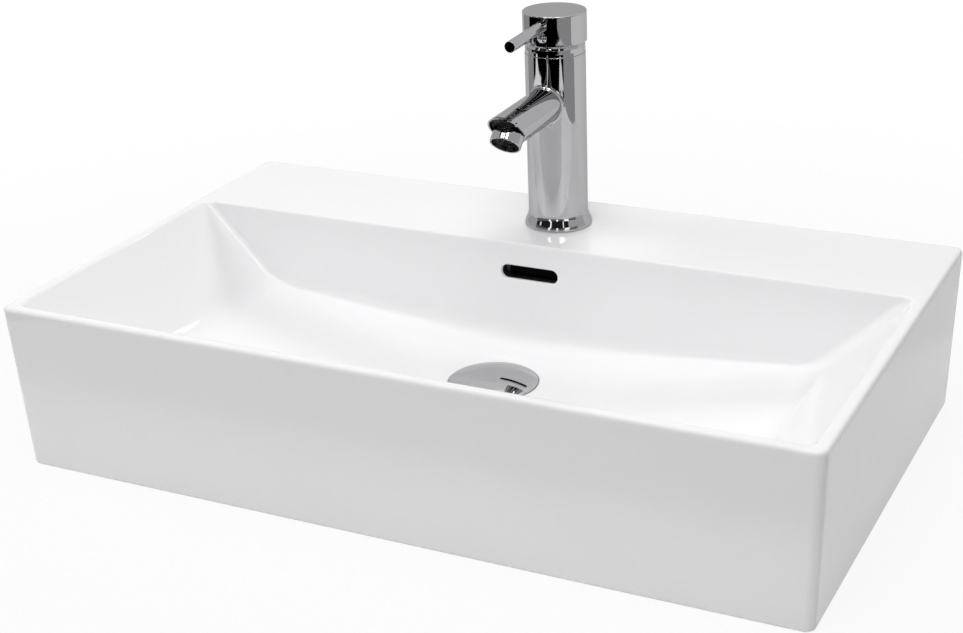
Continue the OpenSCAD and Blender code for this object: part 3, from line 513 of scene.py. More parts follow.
# A point as near as this to a line, in millimetres, counts as on it
ON_LINE = 0.01


def outline_ring(hx, y0, y1, r, z=0.0, behind=None):
    """A rounded rectangle of points, anticlockwise from its back right corner.

    behind, where it is given, is the share of each short side that the rearmost step takes.
    """
    centres = [(hx - r, y1 - r), (r - hx, y1 - r), (r - hx, y0 + r), (hx - r, y0 + r)]
    arcs = []
    for c, (x, y) in enumerate(centres):
        angles = [math.pi / 2 * (c + k / CORNER_STEPS) for k in range(CORNER_STEPS + 1)]
        arcs.append([(x + r * math.cos(a), y + r * math.sin(a)) for a in angles])
    ring = []
    for c in range(4):
        ring += arcs[c]
        steps = LONG_STEPS if c % 2 == 0 else SHORT_STEPS
        (x0, y_from), (x1, y_to) = arcs[c][-1], arcs[(c + 1) % 4][0]
        for k in range(1, steps):
            t = k / steps
            if behind and c == 1:
                t = behind + (1 - behind) * (k - 1) / (steps - 1)
            if behind and c == 3:
                t = (1 - behind) * k / (steps - 1)
            ring.append((x0 + (x1 - x0) * t, y_from + (y_to - y_from) * t))
    return [Vector((x, y, z)) for x, y in ring]


def mix(a, b, t):
    """A ring part of the way from one ring to another."""
    return [p.lerp(q, t) for p, q in zip(a, b)]


def bend(a, b, c, t):
    """A ring of the curve from a to c whose two ends point at b."""
    return mix(mix(a, b, t), mix(b, c, t), t)


def step_from(a, b, distance):
    """The first ring moved towards the second by a distance."""
    return [p + (q - p).normalized() * distance for p, q in zip(a, b)]


def with_height(ring, height):
    """The ring with its heights given by a function of its points."""
    return [Vector((p.x, p.y, height(p))) for p in ring]


def side_rise(x):
    """Share of the floor's climb at x: none in the middle, and all of it at the foot of a side wall."""
    return min(1.0, abs(x) / FLOOR_HX) ** RISE_POWER


def meeting_z(p):
    """Height of the line where floor and walls meet: lowest in the middle, highest at the sides."""
    back = (p.y - FLOOR_Y0) / (FLOOR_Y1 - FLOOR_Y0)
    middle = FOOT_FRONT_Z + (FOOT_BACK_Z - FOOT_FRONT_Z) * back
    return middle + (FOOT_SIDE_Z - middle) * side_rise(p.x)


def floor_ring(start, drain, t):
    """A ring of the floor, which leaves the walls straight and runs out level at the waste."""
    ring = mix(start, drain, t)
    fall = (1 - t) * (1 - t * t)
    return [Vector((p.x, p.y, DRAIN_Z + (s.z - DRAIN_Z) * fall)) for p, s in zip(ring, start)]


def round_ring(ring, r, z):
    """A round ring about the waste, each point on the bearing of the given ring's."""
    made = []
    for p in ring:
        a = math.atan2(p.y, p.x)
        made.append(Vector((r * math.cos(a), r * math.sin(a), z)))
    return made


def under_side(x):
    """Underside of the bowl's sloping side wall, above the point at x."""
    rise = (BASIN_H - FOOT_SIDE_Z) / SIDE_SLOPE
    return BASIN_H - (TOP_HX - abs(x)) * rise - BOWL_T * math.hypot(1, rise)


def ceiling_z(p, behind_y=BEHIND_Y + ON_LINE):
    """Height of the hollow's ceiling: the ledge's underside behind the bowl, and else under its walls."""
    if p.y > behind_y:
        return LEDGE_UNDER_Z
    front = FOOT_FRONT_Z + (FOOT_SIDE_Z - FOOT_FRONT_Z) * side_rise(p.x)
    return max(under_side(p.x), front - BOWL_T - UNDER_FRONT_DROP)


def behind_z(p):
    """The same ceiling, but with the line just behind the bowl taken as ledge."""
    return ceiling_z(p, BEHIND_Y - ON_LINE)


def under_foot_z(p):
    """Underside of the bowl where its floor and walls meet, a little thicker than the walls."""
    return meeting_z(p) - BOWL_T * UNDER_FOOT_THICKER


def basin_rings():
    """Every ring of the basin's skin: from the waste outward, down the outside and back in below."""
    top = outline_ring(TOP_HX, TOP_Y0, LEDGE_Y, BOWL_CORNER_R, BASIN_H)
    meeting = with_height(outline_ring(FLOOR_HX, FLOOR_Y0, FLOOR_Y1, FLOOR_CORNER_R), meeting_z)
    drain = round_ring(meeting, DRAIN_RING_R, DRAIN_Z)
    wall_foot = step_from(meeting, top, FLOOR_FILLET)
    floor_edge = step_from(meeting, drain, FLOOR_FILLET)

    lip_in = step_from(top, meeting, LIP_ROUND)
    lip_out = outline_ring(TOP_HX + LIP_ROUND, TOP_Y0 - LIP_ROUND, LEDGE_Y + LIP_ROUND,
                           BOWL_CORNER_R + LIP_ROUND, BASIN_H)
    rim_in = outline_ring(BASIN_HX - RIM_ROUND, RIM_ROUND - BASIN_HY, BASIN_HY - RIM_ROUND,
                          CORNER_R - RIM_ROUND + RIM_EASE, BASIN_H)
    rim_corner = outline_ring(BASIN_HX, -BASIN_HY, BASIN_HY, CORNER_R, BASIN_H)
    foot_hx = BASIN_HX - WALL_DRAFT
    foot_corner = outline_ring(foot_hx, FOOT_Y0, BASIN_HY, CORNER_R)
    rim_low = step_from(rim_corner, foot_corner, RIM_ROUND)
    foot_high = step_from(foot_corner, rim_corner, FOOT_ROUND)
    foot_in = outline_ring(foot_hx - FOOT_ROUND, FOOT_Y0 + FOOT_ROUND, BASIN_HY - FOOT_ROUND,
                           CORNER_R - FOOT_ROUND)

    straight = SKIRT_Y1 - SKIRT_Y0 - 2 * SKIRT_CORNER_R
    behind = (SKIRT_Y1 - SKIRT_CORNER_R - BEHIND_Y) / straight
    skirt = outline_ring(SKIRT_HX, SKIRT_Y0, SKIRT_Y1, SKIRT_CORNER_R, 0.0, behind)
    under_wall = outline_ring(FLOOR_HX + SIDE_SLOPE * UNDER_WALL_SHARE, SKIRT_Y0 + UNDER_WALL_IN,
                              BEHIND_Y, UNDER_WALL_R)
    under_foot = outline_ring(FLOOR_HX + UNDER_FOOT_OUT, SKIRT_Y0 + UNDER_FOOT_IN,
                              FLOOR_Y1 + BOWL_T + UNDER_GAP, FLOOR_CORNER_R)
    under_floor = floor_ring(floor_edge, drain, UNDER_FLOOR_SHARE)

    rings = [drain]
    rings += [floor_ring(floor_edge, drain, t) for t in reversed(shares(16)[1:-1])]
    rings += [bend(floor_edge, meeting, wall_foot, t) for t in shares(8)]
    rings += [mix(wall_foot, lip_in, t) for t in shares(4)[1:-1]]
    rings += [bend(lip_in, top, lip_out, t) for t in shares(6)]
    rings += [bend(rim_in, rim_corner, rim_low, t) for t in shares(7)]
    rings += [bend(foot_high, foot_corner, foot_in, t) for t in shares(4)]
    rings += [skirt, with_height(skirt, ceiling_z), with_height(under_wall, behind_z)]
    rings += [with_height(under_foot, under_foot_z)]
    rings += [[p - Vector((0, 0, BOWL_T)) for p in under_floor]]
    rings += [round_ring(meeting, BOSS_R, z) for z in (DRAIN_Z - BOWL_T - UNDER_GAP, BOSS_Z)]
    return rings


def duct_view(grow):
    """Side view of the overflow duct, down behind the bowl and then forward to the waste.

    With grow at 0 it is the hollow, and otherwise the clay round it, that many millimetres thick.
    """
    front = BOSS_R - DUCT_ROOT if grow else 0.0
    floor = BOSS_Z if grow else DUCT_Z
    roof = LEDGE_UNDER_Z + LEDGE_BITE if grow else DUCT_ROOF_Z
    near = DUCT_Y - grow
    far = DUCT_Y + DUCT_D + grow
    shelf = DUCT_Z + DUCT_H
    cover = DUCT_SHELF_T if grow else 0.0
    return [
        (front, floor), (far, floor), (far, roof),
        (near, roof), (near, shelf + grow), (front, shelf + cover),
    ]


def back_wall_y(z):
    """Where the face of the bowl's back wall lies at a height."""
    return LEDGE_Y - BACK_SLOPE * (BASIN_H - z) / (BASIN_H - FOOT_BACK_Z)


def slot_tool():
    """A cutter for the overflow slot that opens out at the face of the wall, so the glazed lip is round."""
    lean = math.atan(BACK_SLOPE / (BASIN_H - FOOT_BACK_Z))
    place = Matrix.Translation((0, back_wall_y(SLOT_Z), SLOT_Z)) @ Matrix.Rotation(-lean, 4, "X")
    before_wall = -6.0
    past_wall = 14.0
    lip_steps = 8
    end_steps = 14
    depths = [(before_wall, SLOT_LIP), (0.0, SLOT_LIP)]
    for k in range(1, lip_steps + 1):
        a = math.pi / 2 * k / lip_steps
        depths.append((SLOT_LIP * (1 - math.cos(a)), SLOT_LIP * (1 - math.sin(a))))
    depths += [(SLOT_GLAZE, 0.0), (past_wall, 0.0)]
    half = (SLOT_W - SLOT_H) / 2
    rings = []
    for y, grow in depths:
        r = SLOT_H / 2 + grow
        ring = []
        for side in (1, -1):
            for k in range(end_steps + 1):
                a = -math.pi / 2 + math.pi * k / end_steps
                ring.append((side * (half + r * math.cos(a)), y, side * r * math.sin(a)))
        rings.append(ring)
    return piece_of("slot_tool", *skin(rings), place=place)


def inside_duct(here, normal):
    """Whether a face lies in the overflow duct, or in its slot past the glazed lip: where shade is painted.
    """
    room = 0.1
    lip_room = 1.0
    in_slot = abs(here.x) < SLOT_W / 2 + room and abs(here.z - SLOT_Z) < SLOT_H / 2 + lip_room
    deep_in_slot = back_wall_y(here.z) + SLOT_GLAZE < here.y
    in_duct = abs(here.x) < DUCT_W / 2 + room and DUCT_Y - room < here.y
    in_height = DUCT_Z - room < here.z < DUCT_ROOF_Z + room
    in_depth = here.y < DUCT_Y + DUCT_D + room
    return in_height and in_depth and ((in_slot and deep_in_slot) or in_duct)


def make_basin():
    basin = piece_of("basin_shell", *skin(basin_rings()), "basin")
    duct_block = prism(duct_view(DUCT_WALL), DUCT_W + 2 * DUCT_WALL)
    combine(basin, piece_of("duct_block", *duct_block), "UNION")
    for name, shape in (
        ("duct_tool", prism(duct_view(0), DUCT_W)),
        ("chamber_tool", drum(WASTE_HOLE_R + DUCT_H, DUCT_Z, DUCT_Z + DUCT_H)),
        ("waste_tool", drum(WASTE_HOLE_R, 0, DRAIN_Z + CUT_PAST)),
        ("recess_tool", drum(WASTE_RECESS_R, FLANGE_SEAT_Z, DRAIN_Z + CUT_PAST)),
        ("tap_hole_tool", drum(TAP_HOLE_R, LEDGE_UNDER_Z - CUT_PAST, BASIN_H + CUT_PAST, y=TAP_Y)),
    ):
        combine(basin, piece_of(name, *shape), "DIFFERENCE")
    combine(basin, slot_tool(), "DIFFERENCE")
    # The duct and the deep part of its slot take the painted shade
    finish_faces(basin, DUCT_PAINTED_SHADE, inside_duct)
    even_normals(basin, BASIN_EDGE_ANGLE)


def lifted(z):
    """A move straight up, in millimetres."""
    return Matrix.Translation((0, 0, z))


def tipped(angle):
    """A turn about the X axis, in degrees."""
    return Matrix.Rotation(math.radians(angle), 4, "X")


# Frames of the tap's pieces, in millimetres. The spout runs along its frame's -Y, the Z of the cut and of
# the aerator runs up into the spout, and the Z of the lever and of the plug runs forward.
AT_TAP = Matrix.Translation((0, TAP_Y, BASIN_H))
FORWARD = tipped(90)
SPOUT_FRAME = AT_TAP @ lifted(SPOUT_Z) @ tipped(SPOUT_FALL)
CUT_FRAME = SPOUT_FRAME @ Matrix.Translation((0, -SPOUT_REACH, 0)) @ tipped(-SPOUT_FALL - CUT_ANGLE)
AERATOR_FRAME = CUT_FRAME @ Matrix.Translation((0, AERATOR_SHIFT, 0))
LEVER_FRAME = AT_TAP @ lifted(LEVER_Z) @ tipped(LEVER_FALL) @ FORWARD
PLUG_FRAME = AT_TAP @ lifted(PLUG_Z) @ FORWARD
TO_TAP = AT_TAP.inverted()
TO_SPOUT = SPOUT_FRAME.inverted()
TO_CUT = CUT_FRAME.inverted()


def column_outline():
    """Half section of the column: foot, bell, wall, top edge, the neck that stands on it, and its bore."""
    flare = FLARE_R - COLUMN_R
    wall_top = COLUMN_H - 6.0
    wall_steps = 40
    foot = [(COLUMN_BORE_R, TAP_SEAT_Z, 0), (FLARE_R, TAP_SEAT_Z, 0.4), (FLARE_R, FLARE_EDGE, 0)]
    bell = [(COLUMN_R + flare * (1 - t * t * (3 - 2 * t)), FLARE_EDGE + (FLARE_H - FLARE_EDGE) * t)
            for t in shares(32)[1:]]
    wall = [(COLUMN_R, FLARE_H + (wall_top - FLARE_H) * k / wall_steps) for k in range(1, wall_steps)]
    top = [
        (COLUMN_R, wall_top, 0), (COLUMN_R, COLUMN_H, 0.3), (NECK_R, COLUMN_H, 0),
        (NECK_R, NECK_TOP_Z, 0), (NECK_BORE_R, NECK_TOP_Z, 0), (NECK_BORE_R, NECK_BORE_Z, 0),
    ]
    return rounded(foot) + bell + wall + rounded(top)


def column_wall(s, a):
    """Place on the spout's axis where the line at radius s and bearing a about it meets the column."""
    tilt = math.radians(SPOUT_FALL)
    across = s * math.sin(a)
    return -math.sqrt(COLUMN_R ** 2 - across ** 2) / math.cos(tilt) + s * math.cos(a) * math.tan(tilt)


def spout_rings():
    """The spout as rings round its own axis, from inside the column to past its cut end."""
    root = SPOUT_R + SPOUT_FILLET
    sink = 0.03
    inside_column = (2.5, 1.2)
    past_end = 4
    straight_steps = 30
    lines = []
    for k in range(NARROW_STEPS):
        a = 2 * math.pi * k / NARROW_STEPS
        corner = Vector((SPOUT_R, column_wall(SPOUT_R, a)))
        start = Vector((SPOUT_R, corner.y - SPOUT_FILLET))
        root_y = column_wall(root, a)
        end = Vector((root, root_y + sink))
        line = [(root, root_y + depth) for depth in inside_column]
        for t in shares(10):
            p = end * (1 - t) ** 2 + corner * 2 * t * (1 - t) + start * t ** 2
            line.append((p.x, p.y))
        far = -SPOUT_REACH - SPOUT_R - past_end
        line += [(SPOUT_R, start.y + (far - start.y) * j / straight_steps)
                 for j in range(1, straight_steps + 1)]
        lines.append([(s * math.sin(a), y, s * math.cos(a)) for s, y in line])
    return [list(ring) for ring in zip(*lines)]


def mouth_rings():
    """A shallow hollow in the spout's cut end, its floor level with the cut, inside a thin chromed edge."""
    r = SPOUT_R - MOUTH_EDGE
    before_end = -3.0
    slope = math.tan(math.radians(90 - CUT_ANGLE))
    rings = []
    for depth in (before_end, MOUTH_DEPTH * math.sqrt(2)):
        ring = []
        for k in range(NARROW_STEPS):
            a = 2 * math.pi * k / NARROW_STEPS
            x, z = r * math.sin(a), r * math.cos(a)
            ring.append((x, -SPOUT_REACH + depth - z * slope, z))
        rings.append(ring)
    return rings


def inside_mouth(here, normal):
    """Whether a face lies in the hollow of the spout's end, on its floor or wall: where shade is painted.
    """
    p = TO_CUT @ here
    outward = CUT_FRAME.to_3x3() @ Vector((0, 0, -1))
    past_edge = 0.3
    room = 0.1
    widest = SPOUT_R * 1.5
    level = 0.9
    # The slanting cut draws the hollow out along Y, and this draws it in again
    drawn_in = 0.7
    in_depth = past_edge < p.z < MOUTH_DEPTH + room
    in_reach = math.hypot(p.x, p.y) < widest
    on_floor = normal.dot(outward) > level
    on_wall = math.hypot(p.x, p.y * drawn_in) < SPOUT_R - MOUTH_EDGE + room
    return in_depth and in_reach and (on_floor or on_wall)


def make_tap_body():
    column = piece_of("tap_column", *turned(column_outline(), WIDE_STEPS), "tap_body", AT_TAP)
    spout = piece_of("spout_tube", *skin(spout_rings()), place=SPOUT_FRAME)
    reach = 60.0
    block = [(x, y, z) for z in (-reach, 0) for y in (-reach, reach) for x in (-reach, reach)]
    sides = [(0, 1, 3, 2), (4, 6, 7, 5), (0, 4, 5, 1), (2, 3, 7, 6), (0, 2, 6, 4), (1, 5, 7, 3)]
    combine(spout, piece_of("cut_tool", block, sides, place=CUT_FRAME), "DIFFERENCE")
    before_cut = -1.0
    socket = drum(AERATOR_THREAD_R, before_cut, SOCKET_DEPTH, NARROW_STEPS)
    combine(spout, piece_of("socket_tool", *socket, place=AERATOR_FRAME), "DIFFERENCE")
    combine(spout, piece_of("mouth_tool", *skin(mouth_rings()), place=SPOUT_FRAME), "DIFFERENCE")
    combine(column, spout, "UNION")
    shade(column, TAP_EDGE_ANGLE)
    true_normals(column)
    # The hollow of the spout's end takes the painted shade
    finish_faces(column, MOUTH_PAINTED_SHADE, inside_mouth)


def true_normals(column):
    """Exact normals on the round walls of the column and of the spout, so that their mirror is even."""
    mesh = column.data
    spout_turn = SPOUT_FRAME.to_3x3()
    like = 0.8
    near_column = 0.05
    near_spout = 0.02
    edge_room = 0.25
    made = [tuple(c.vector) for c in mesh.corner_normals]
    normals = []
    for loop in mesh.loops:
        here = mesh.vertices[loop.vertex_index].co / MM
        normal = Vector(made[loop.index])
        p = TO_TAP @ here
        from_column = Vector((p.x, p.y, 0))
        straight = FLARE_H < p.z < COLUMN_H - edge_room
        if abs(from_column.length - COLUMN_R) < near_column and straight:
            exact = from_column.normalized()
            if exact.dot(normal) > like:
                normal = exact
        q = TO_SPOUT @ here
        from_spout = Vector((q.x, 0, q.z))
        if abs(from_spout.length - SPOUT_R) < near_spout and q.y < -COLUMN_R:
            exact = (spout_turn @ from_spout).normalized()
            if exact.dot(normal) > like:
                normal = exact
        normals.append(normal)
    mesh.normals_split_custom_set(normals)


def make_dome_ring():
    start_z = PIVOT_Z + math.sqrt(DOME_R ** 2 - RING_R ** 2)
    a0 = math.asin((start_z - PIVOT_Z) / DOME_R)
    a1 = math.asin((RING_TOP_Z - PIVOT_Z) / DOME_R)
    dome = [(DOME_R * math.cos(a0 + (a1 - a0) * t), PIVOT_Z + DOME_R * math.sin(a0 + (a1 - a0) * t))
            for t in shares(16)]
    foot = rounded([
        (RING_SOCKET_R, COLUMN_H, 0), (RING_R, COLUMN_H + RING_GAP, 0.35), (RING_R, start_z, 0),
    ])
    inside = [
        (RING_LIP_R, RING_TOP_Z), (RING_LIP_R, RING_LIP_Z), (RING_BORE_R, RING_LIP_Z),
        (RING_BORE_R, RING_SOCKET_Z), (RING_SOCKET_R, RING_SOCKET_Z),
    ]
    outline = foot[:-1] + dome + inside
    even_normals(piece_of("dome_ring_turned", *turned(outline, WIDE_STEPS), "dome_ring", AT_TAP))


def make_handle_cap():
    corners = [
        (0, CAP_TOP_Z, 0), (CAP_R, CAP_TOP_Z, 1.0), (CAP_R, CAP_Z, 0.3), (CAP_BORE_R, CAP_Z, 0.25),
        (CAP_BORE_R, CAP_ROOF_Z, 0.5), (CAP_BOSS_R, CAP_ROOF_Z, 0), (CAP_BOSS_R, CAP_BOSS_Z, 0.3),
        (0, CAP_BOSS_Z, 0),
    ]
    cap = piece_of("cap_turned", *turned(rounded(corners, 8), WIDE_STEPS), "handle_cap", AT_TAP)
    past_wall = CAP_R + 4
    plug_hole = drum(PLUG_R + PLUG_GAP, CAP_R - PLUG_DEPTH, past_wall, 64)
    combine(cap, piece_of("plug_tool", *plug_hole, place=PLUG_FRAME), "DIFFERENCE")
    even_normals(cap)


def make_lever():
    corners = [
        (0, LEVER_SEAT, 0), (LEVER_R, LEVER_SEAT, 0), (LEVER_R, LEVER_REACH, 0.45), (0, LEVER_REACH, 0),
    ]
    pin = turned(rounded(corners, 5), NARROW_STEPS)
    even_normals(piece_of("lever_pin", *pin, "lever_rod", LEVER_FRAME))


def make_index_plug():
    edge = math.sqrt(CAP_R ** 2 - PLUG_R ** 2) - PLUG_SINK
    half = math.radians(PLUG_DOME_ANGLE)
    crown = PLUG_R / math.sin(half)
    dome = [(crown * math.sin(half * t), edge + crown * (math.cos(half * t) - math.cos(half)))
            for t in shares(16)]
    outline = [(0, CAP_R - PLUG_DEPTH), (PLUG_R, CAP_R - PLUG_DEPTH)] + dome[::-1]
    even_normals(piece_of("index_button", *turned(outline, NARROW_STEPS), "index_plug", PLUG_FRAME))


def make_aerator():
    thread_r = AERATOR_THREAD_R - 0.05
    collar_z = MOUTH_DEPTH - 0.2
    lip_z = -3.0
    corners = [
        (thread_r, SLEEVE_TOP, 0.3), (thread_r, collar_z, 0), (AERATOR_R, collar_z, 0.15),
        (AERATOR_R, -AERATOR_LEN, 0.5), (MOUTH_R, -AERATOR_LEN, 0.3), (MOUTH_R, lip_z, 0),
        (AERATOR_BORE_R, lip_z, 0), (AERATOR_BORE_R, SLEEVE_TOP, 0),
    ]
    sleeve = turned(rounded(corners, 5), SLEEVE_STEPS)
    even_normals(piece_of("aerator_sleeve", *sleeve, "aerator_housing", AERATOR_FRAME))


def make_waste_cap():
    top = WASTE_CAP_Z + WASTE_CAP_EDGE
    dome_r = WASTE_CAP_R - WASTE_CAP_SHOULDER
    shoulder_z = top - 0.4
    crown = (dome_r ** 2 + WASTE_DOME ** 2) / (2 * WASTE_DOME)
    half = math.asin(dome_r / crown)
    dome = [(crown * math.sin(half * t), top + WASTE_DOME - crown * (1 - math.cos(half * t)), 0)
            for t in shares(28)]
    corners = dome + [
        (WASTE_CAP_R, shoulder_z, 0.5), (WASTE_CAP_R, WASTE_CAP_Z, 0.3), (WASTE_BOSS_R, WASTE_CAP_Z, 0),
        (WASTE_BOSS_END_R, WASTE_BOSS_Z, 0.3), (0, WASTE_BOSS_Z, 0),
    ]
    cap = piece_of("waste_dome", *turned(rounded(corners, 5), WIDE_STEPS), "waste_cap")
    # The waste cap takes the paler copy of the chrome, painted light
    cap.data.materials[0] = WASTE_CHROME_PAINTED_PALER
    even_normals(cap)


def make_camera():
    camera = bpy.data.objects.new("camera", bpy.data.cameras.new("camera"))
    scene.collection.objects.link(camera)
    camera.data.sensor_width = SENSOR_W
    camera.data.lens = FOCAL_PIXELS * SENSOR_W / IMAGE_W
    camera.data.clip_start = NEAREST_SEEN
    camera.location = CAMERA_AT
    turn = (Matrix.Rotation(math.radians(CAMERA_AZIMUTH), 4, "Z")
            @ tipped(90 - CAMERA_ELEVATION)
            @ Matrix.Rotation(math.radians(CAMERA_ROLL), 4, "Z"))
    camera.rotation_euler = turn.to_euler()
    scene.camera = camera


def shown_rays(tree):
    """One for a ray from the camera, or one that a mirror or glass passes on, and zero for the rest."""
    path = add(tree, "ShaderNodeLightPath")
    seen = add(tree, "ShaderNodeMath", {"operation": "MAXIMUM"},
               {0: path.outputs["Is Camera Ray"], 1: path.outputs["Is Glossy Ray"]})
    return add(tree, "ShaderNodeMath", {"operation": "MAXIMUM"},
               {0: seen.outputs["Value"], 1: path.outputs["Is Transmission Ray"]}).outputs["Value"]


def make_world(level):
    """White behind everything that is seen or mirrored, and a plain level of light on matt surfaces."""
    world = bpy.data.worlds.new("studio")
    scene.world = world
    world.use_nodes = True
    tree = world.node_tree
    tree.nodes.clear()
    light = add(tree, "ShaderNodeMapRange", {"To Min": level, "To Max": 1.0}, {"Value": shown_rays(tree)})
    sky = add(tree, "ShaderNodeBackground", {"Color": linear("#ffffff")},
              {"Strength": light.outputs["Result"]})
    output = add(tree, "ShaderNodeOutputWorld")
    tree.links.new(sky.outputs["Background"], output.inputs["Surface"])


# Level of the world's plain light on matt surfaces
WORLD_LEVEL = 0.15
# Soft lamps: where each is and what it faces, its width and depth, all in metres, and its power in watts.
# The skirt light lies low in front and faces the floor, and it lightens the foot of the front wall.
BOWL_MIDDLE = (0.0, 0.0, 0.1)
LAMPS = {
    "top_light": ((0.0, -0.3, 1.9), BOWL_MIDDLE, 1.3, 1.3, 6.0),
    "front_light": ((0.2, -0.9, 1.9), BOWL_MIDDLE, 1.6, 1.4, 23.0),
    "left_light": ((-1.8, -0.2, 1.3), BOWL_MIDDLE, 1.2, 1.0, 11.5),
    "skirt_light": ((-0.1, -0.31, 0.08), (-0.1, -0.31, 0.0), 1.0, 0.2, 0.12),
    "back_light": ((0.0, 1.6, 1.25), BOWL_MIDDLE, 1.6, 0.5, 13.0),
}


def softbox(name, at, towards, width, depth, power):
    """A soft lamp of a plain studio."""
    lamp = bpy.data.lights.new(name, "AREA")
    lamp.shape = "RECTANGLE"
    lamp.size = width
    lamp.size_y = depth
    lamp.energy = power
    holder = bpy.data.objects.new(name, lamp)
    scene.collection.objects.link(holder)
    holder.location = at
    holder.rotation_euler = (Vector(towards) - Vector(at)).to_track_quat("-Z", "Y").to_euler()
    holder.visible_camera = False


# Studio cards round the tap, which give the chrome its dark and pale streaks. Each is a level and rows of
# (distance, height, first bearing, last bearing), in metres, and in degrees from straight ahead toward +X.
ON_FLOOR = 0.001
JUST_ABOVE = 0.002
WALL_R = 1.35
STROKE_R = 1.3
LOW_WALL = 0.45
WALL_STEP = 0.01
SIDE_WALL = 1.95
HIGH_WALL = 3.4
CARDS = {
    "black_floor": (0.0, [
        (0.66, ON_FLOOR, -65, 54), (1.05, ON_FLOOR, -65, 54), (1.06, ON_FLOOR, -76, 54),
        (1.15, ON_FLOOR, -76, 33), (WALL_R, ON_FLOOR, -76, 33),
    ]),
    "grey_floor_left": (0.43, [
        (0.66, ON_FLOOR, -98, -65), (1.05, ON_FLOOR, -98, -65), (1.06, ON_FLOOR, -115, -76),
        (WALL_R, ON_FLOOR, -115, -76),
    ]),
    "grey_floor_right": (0.40, [
        (0.66, ON_FLOOR, 54, 98), (1.05, ON_FLOOR, 54, 98), (1.06, ON_FLOOR, 54, 84),
        (1.15, ON_FLOOR, 33, 84), (WALL_R, ON_FLOOR, 33, 84),
    ]),
    "pale_floor": (0.86, [
        (0.36, ON_FLOOR, 98, 262), (1.05, ON_FLOOR, 98, 262), (1.06, ON_FLOOR, 84, 245),
        (WALL_R, ON_FLOOR, 84, 245),
    ]),
    "white_strip_left": (1.14, [
        (0.84, JUST_ABOVE, -70, -24), (0.876, JUST_ABOVE, -63, -33), (0.901, JUST_ABOVE, -57, -31),
        (0.915, JUST_ABOVE, -55, -40), (0.95, JUST_ABOVE, -54, -44), (0.98, JUST_ABOVE, -53, -46),
        (1.05, JUST_ABOVE, -52, -47),
    ]),
    "white_strip_right": (1.0, [
        (0.84, JUST_ABOVE, 36, 54), (0.876, JUST_ABOVE, 37, 51), (0.901, JUST_ABOVE, 38, 49),
        (0.95, JUST_ABOVE, 39, 47), (0.98, JUST_ABOVE, 40, 44), (1.0, JUST_ABOVE, 41, 43),
    ]),
    "grey_strip": (0.28, [
        (0.84, JUST_ABOVE, -14, 4), (0.90, JUST_ABOVE, -13, 3), (0.93, JUST_ABOVE, -10, 0),
        (0.98, JUST_ABOVE, -9, -2), (1.05, JUST_ABOVE, -7, -4),
    ]),
    "pale_cone_left": (0.75, [
        (1.055, JUST_ABOVE, -90, -45), (1.068, JUST_ABOVE, -66, -57), (1.08, JUST_ABOVE, -62, -59),
    ]),
    "pale_cone_right": (0.80, [
        (1.055, JUST_ABOVE, 22, 58), (1.068, JUST_ABOVE, 32, 52), (1.088, JUST_ABOVE, 41, 44),
    ]),
    "dusk_wall": (0.19, [(WALL_R, ON_FLOOR, -60, 90), (WALL_R, LOW_WALL, -60, 90)]),
    "night_wall": (0.02, [(WALL_R, LOW_WALL, -60, 60), (WALL_R, HIGH_WALL, -60, 60)]),
    "side_wall_left": (0.57, [(WALL_R, ON_FLOOR, -110, -60), (WALL_R, SIDE_WALL, -110, -60)]),
    "side_wall_right": (0.57, [
        (WALL_R, ON_FLOOR, 90, 125), (WALL_R, LOW_WALL, 90, 125), (WALL_R, LOW_WALL + WALL_STEP, 60, 125),
        (WALL_R, SIDE_WALL, 60, 125),
    ]),
    "back_wall": (0.76, [(WALL_R, ON_FLOOR, 125, 250), (WALL_R, SIDE_WALL, 125, 250)]),
    "stroke_left": (1.3, [(STROKE_R, 0.95, -46, -41), (STROKE_R, 3.0, -46, -41)]),
    "stroke_low_left": (1.2, [(STROKE_R, 0.5, -47, -41), (STROKE_R, 0.95, -46, -41)]),
    "stroke_middle": (0.5, [(STROKE_R, 0.5, -5, -1), (STROKE_R, 3.0, -5, -1)]),
    "stroke_right": (1.3, [(STROKE_R, 0.5, 39, 43), (STROKE_R, 3.0, 39, 43)]),
    "stroke_low_middle": (2.0, [(STROKE_R, 0.5, -7, -2), (STROKE_R, 0.80, -6, -3)]),
    "lamp_bar_left": (0.0, [(0.30, 1.50, -16, -4), (1.28, 1.15, -16, -4)]),
    "lamp_bar_right": (0.0, [(0.30, 1.50, 9, 25), (1.28, 1.15, 9, 25)]),
    "glint_left": (1.8, [(STROKE_R, 0.18, -12, -5), (STROKE_R, 0.52, -12, -5)]),
    "glint_middle": (1.8, [(STROKE_R, 0.18, 16, 22), (STROKE_R, 0.52, 16, 22)]),
    "glint_right": (1.8, [(STROKE_R, 0.18, 42, 60), (STROKE_R, 0.50, 46, 62)]),
    "glint_high": (3.0, [(STROKE_R, 1.15, -1, 7), (STROKE_R, 1.32, -1, 7)]),
}
CARD_STEPS = 48


def studio_sheet(name, points, faces, material):
    """A plain sheet of the studio, in metres, which isn't part of the basin."""
    mesh = bpy.data.meshes.new(name)
    mesh.from_pydata(points, [], faces)
    mesh.materials.append(material)
    sheet = bpy.data.objects.new(name, mesh)
    scene.collection.objects.link(sheet)
    return sheet


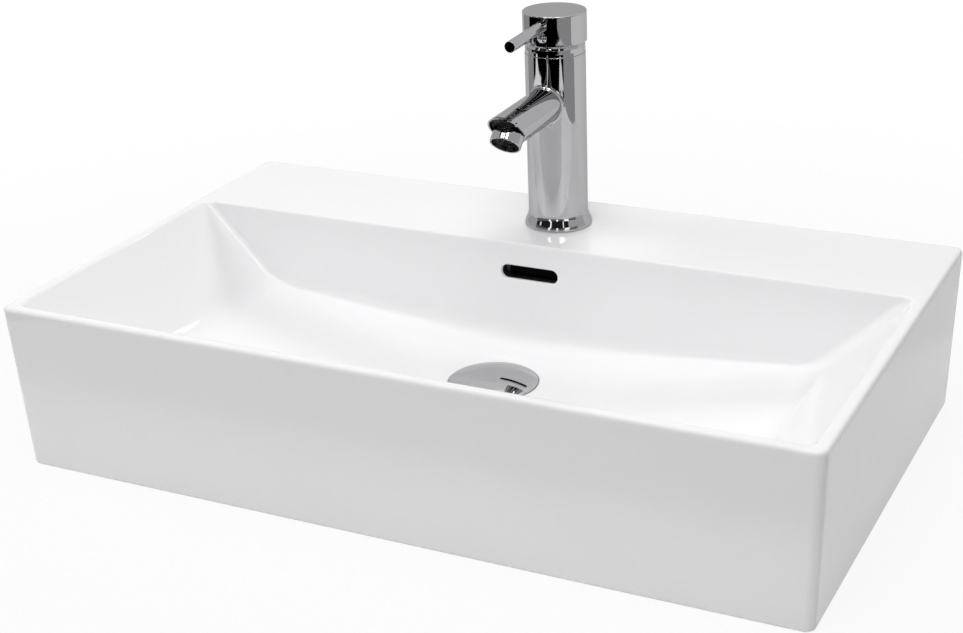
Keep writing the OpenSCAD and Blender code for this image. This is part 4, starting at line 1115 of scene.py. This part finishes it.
def card(name, level, rows):
    """A plain card, curved about the tap, that only mirrors show."""
    material, tree, output = new_material(name)
    glow = add(tree, "ShaderNodeEmission", {"Color": linear("#ffffff"), "Strength": level})
    tree.links.new(glow.outputs["Emission"], output.inputs["Surface"])
    points = []
    for r, z, start, end in rows:
        for k in range(CARD_STEPS + 1):
            a = math.radians(start + (end - start) * k / CARD_STEPS)
            points.append((r * math.sin(a), TAP_Y * MM - r * math.cos(a), z))
    faces = []
    for j in range(len(rows) - 1):
        here, beyond = j * (CARD_STEPS + 1), (j + 1) * (CARD_STEPS + 1)
        faces += [(here + k, here + k + 1, beyond + k + 1, beyond + k) for k in range(CARD_STEPS)]
    panel = studio_sheet(name, points, faces, material)
    for ray in ("camera", "diffuse", "transmission", "volume_scatter", "shadow"):
        setattr(panel, "visible_" + ray, False)


# Floor of the studio, in metres, just below the basin's foot
FLOOR_HALF = 6.0
FLOOR_Z = -0.0002
# Near the basin's middle this share of what is seen of the floor is plain white, and the rest is its lit
# paint, which holds the shadow. The share grows from the first distance on, to all of it at the second.
NEAR_WHITE = 0.9
SHADOW_END = 0.4
WHITE_FROM = 0.9


def make_floor():
    """A floor that looks white, and whose grey paint sends less light back up to the basin's walls."""
    material, tree, output = new_material("studio_floor")
    paint = add(tree, "ShaderNodeBsdfDiffuse", {"Color": linear("#dadada")})
    glow = add(tree, "ShaderNodeEmission", {"Color": linear("#ffffff"), "Strength": 1.0})
    place = add(tree, "ShaderNodeTexCoord").outputs["Object"]
    away = add(tree, "ShaderNodeVectorMath", {"operation": "LENGTH"}, {0: place})
    white = add(tree, "ShaderNodeMapRange",
                {"From Min": SHADOW_END, "From Max": WHITE_FROM, "To Min": NEAR_WHITE, "To Max": 1.0},
                {"Value": away.outputs["Value"]})
    share = add(tree, "ShaderNodeMath", {"operation": "MULTIPLY"},
                {0: shown_rays(tree), 1: white.outputs["Result"]})
    mixed = add(tree, "ShaderNodeMixShader", links={0: share.outputs["Value"]})
    tree.links.new(paint.outputs["BSDF"], mixed.inputs[1])
    tree.links.new(glow.outputs["Emission"], mixed.inputs[2])
    tree.links.new(mixed.outputs["Shader"], output.inputs["Surface"])
    corners = [(x * FLOOR_HALF, y * FLOOR_HALF, FLOOR_Z) for x, y in ((-1, -1), (1, -1), (1, 1), (-1, 1))]
    studio_sheet("studio_floor", corners, [(0, 1, 2, 3)], material)


for node, cad_object in frame["nodes"].items():
    cad_object.data.materials.clear()
    cad_object.data.materials.append(FINISHES[finish_of(node)])

make_camera()
make_world(WORLD_LEVEL)
for name, settings in LAMPS.items():
    softbox(name, *settings)
for name, (level, rows) in CARDS.items():
    card(name, level, rows)
make_floor()
make_basin()
make_tap_body()
make_dome_ring()
make_handle_cap()
make_lever()
make_index_plug()
make_aerator()
make_waste_cap()

scene.view_settings.view_transform = "Standard"
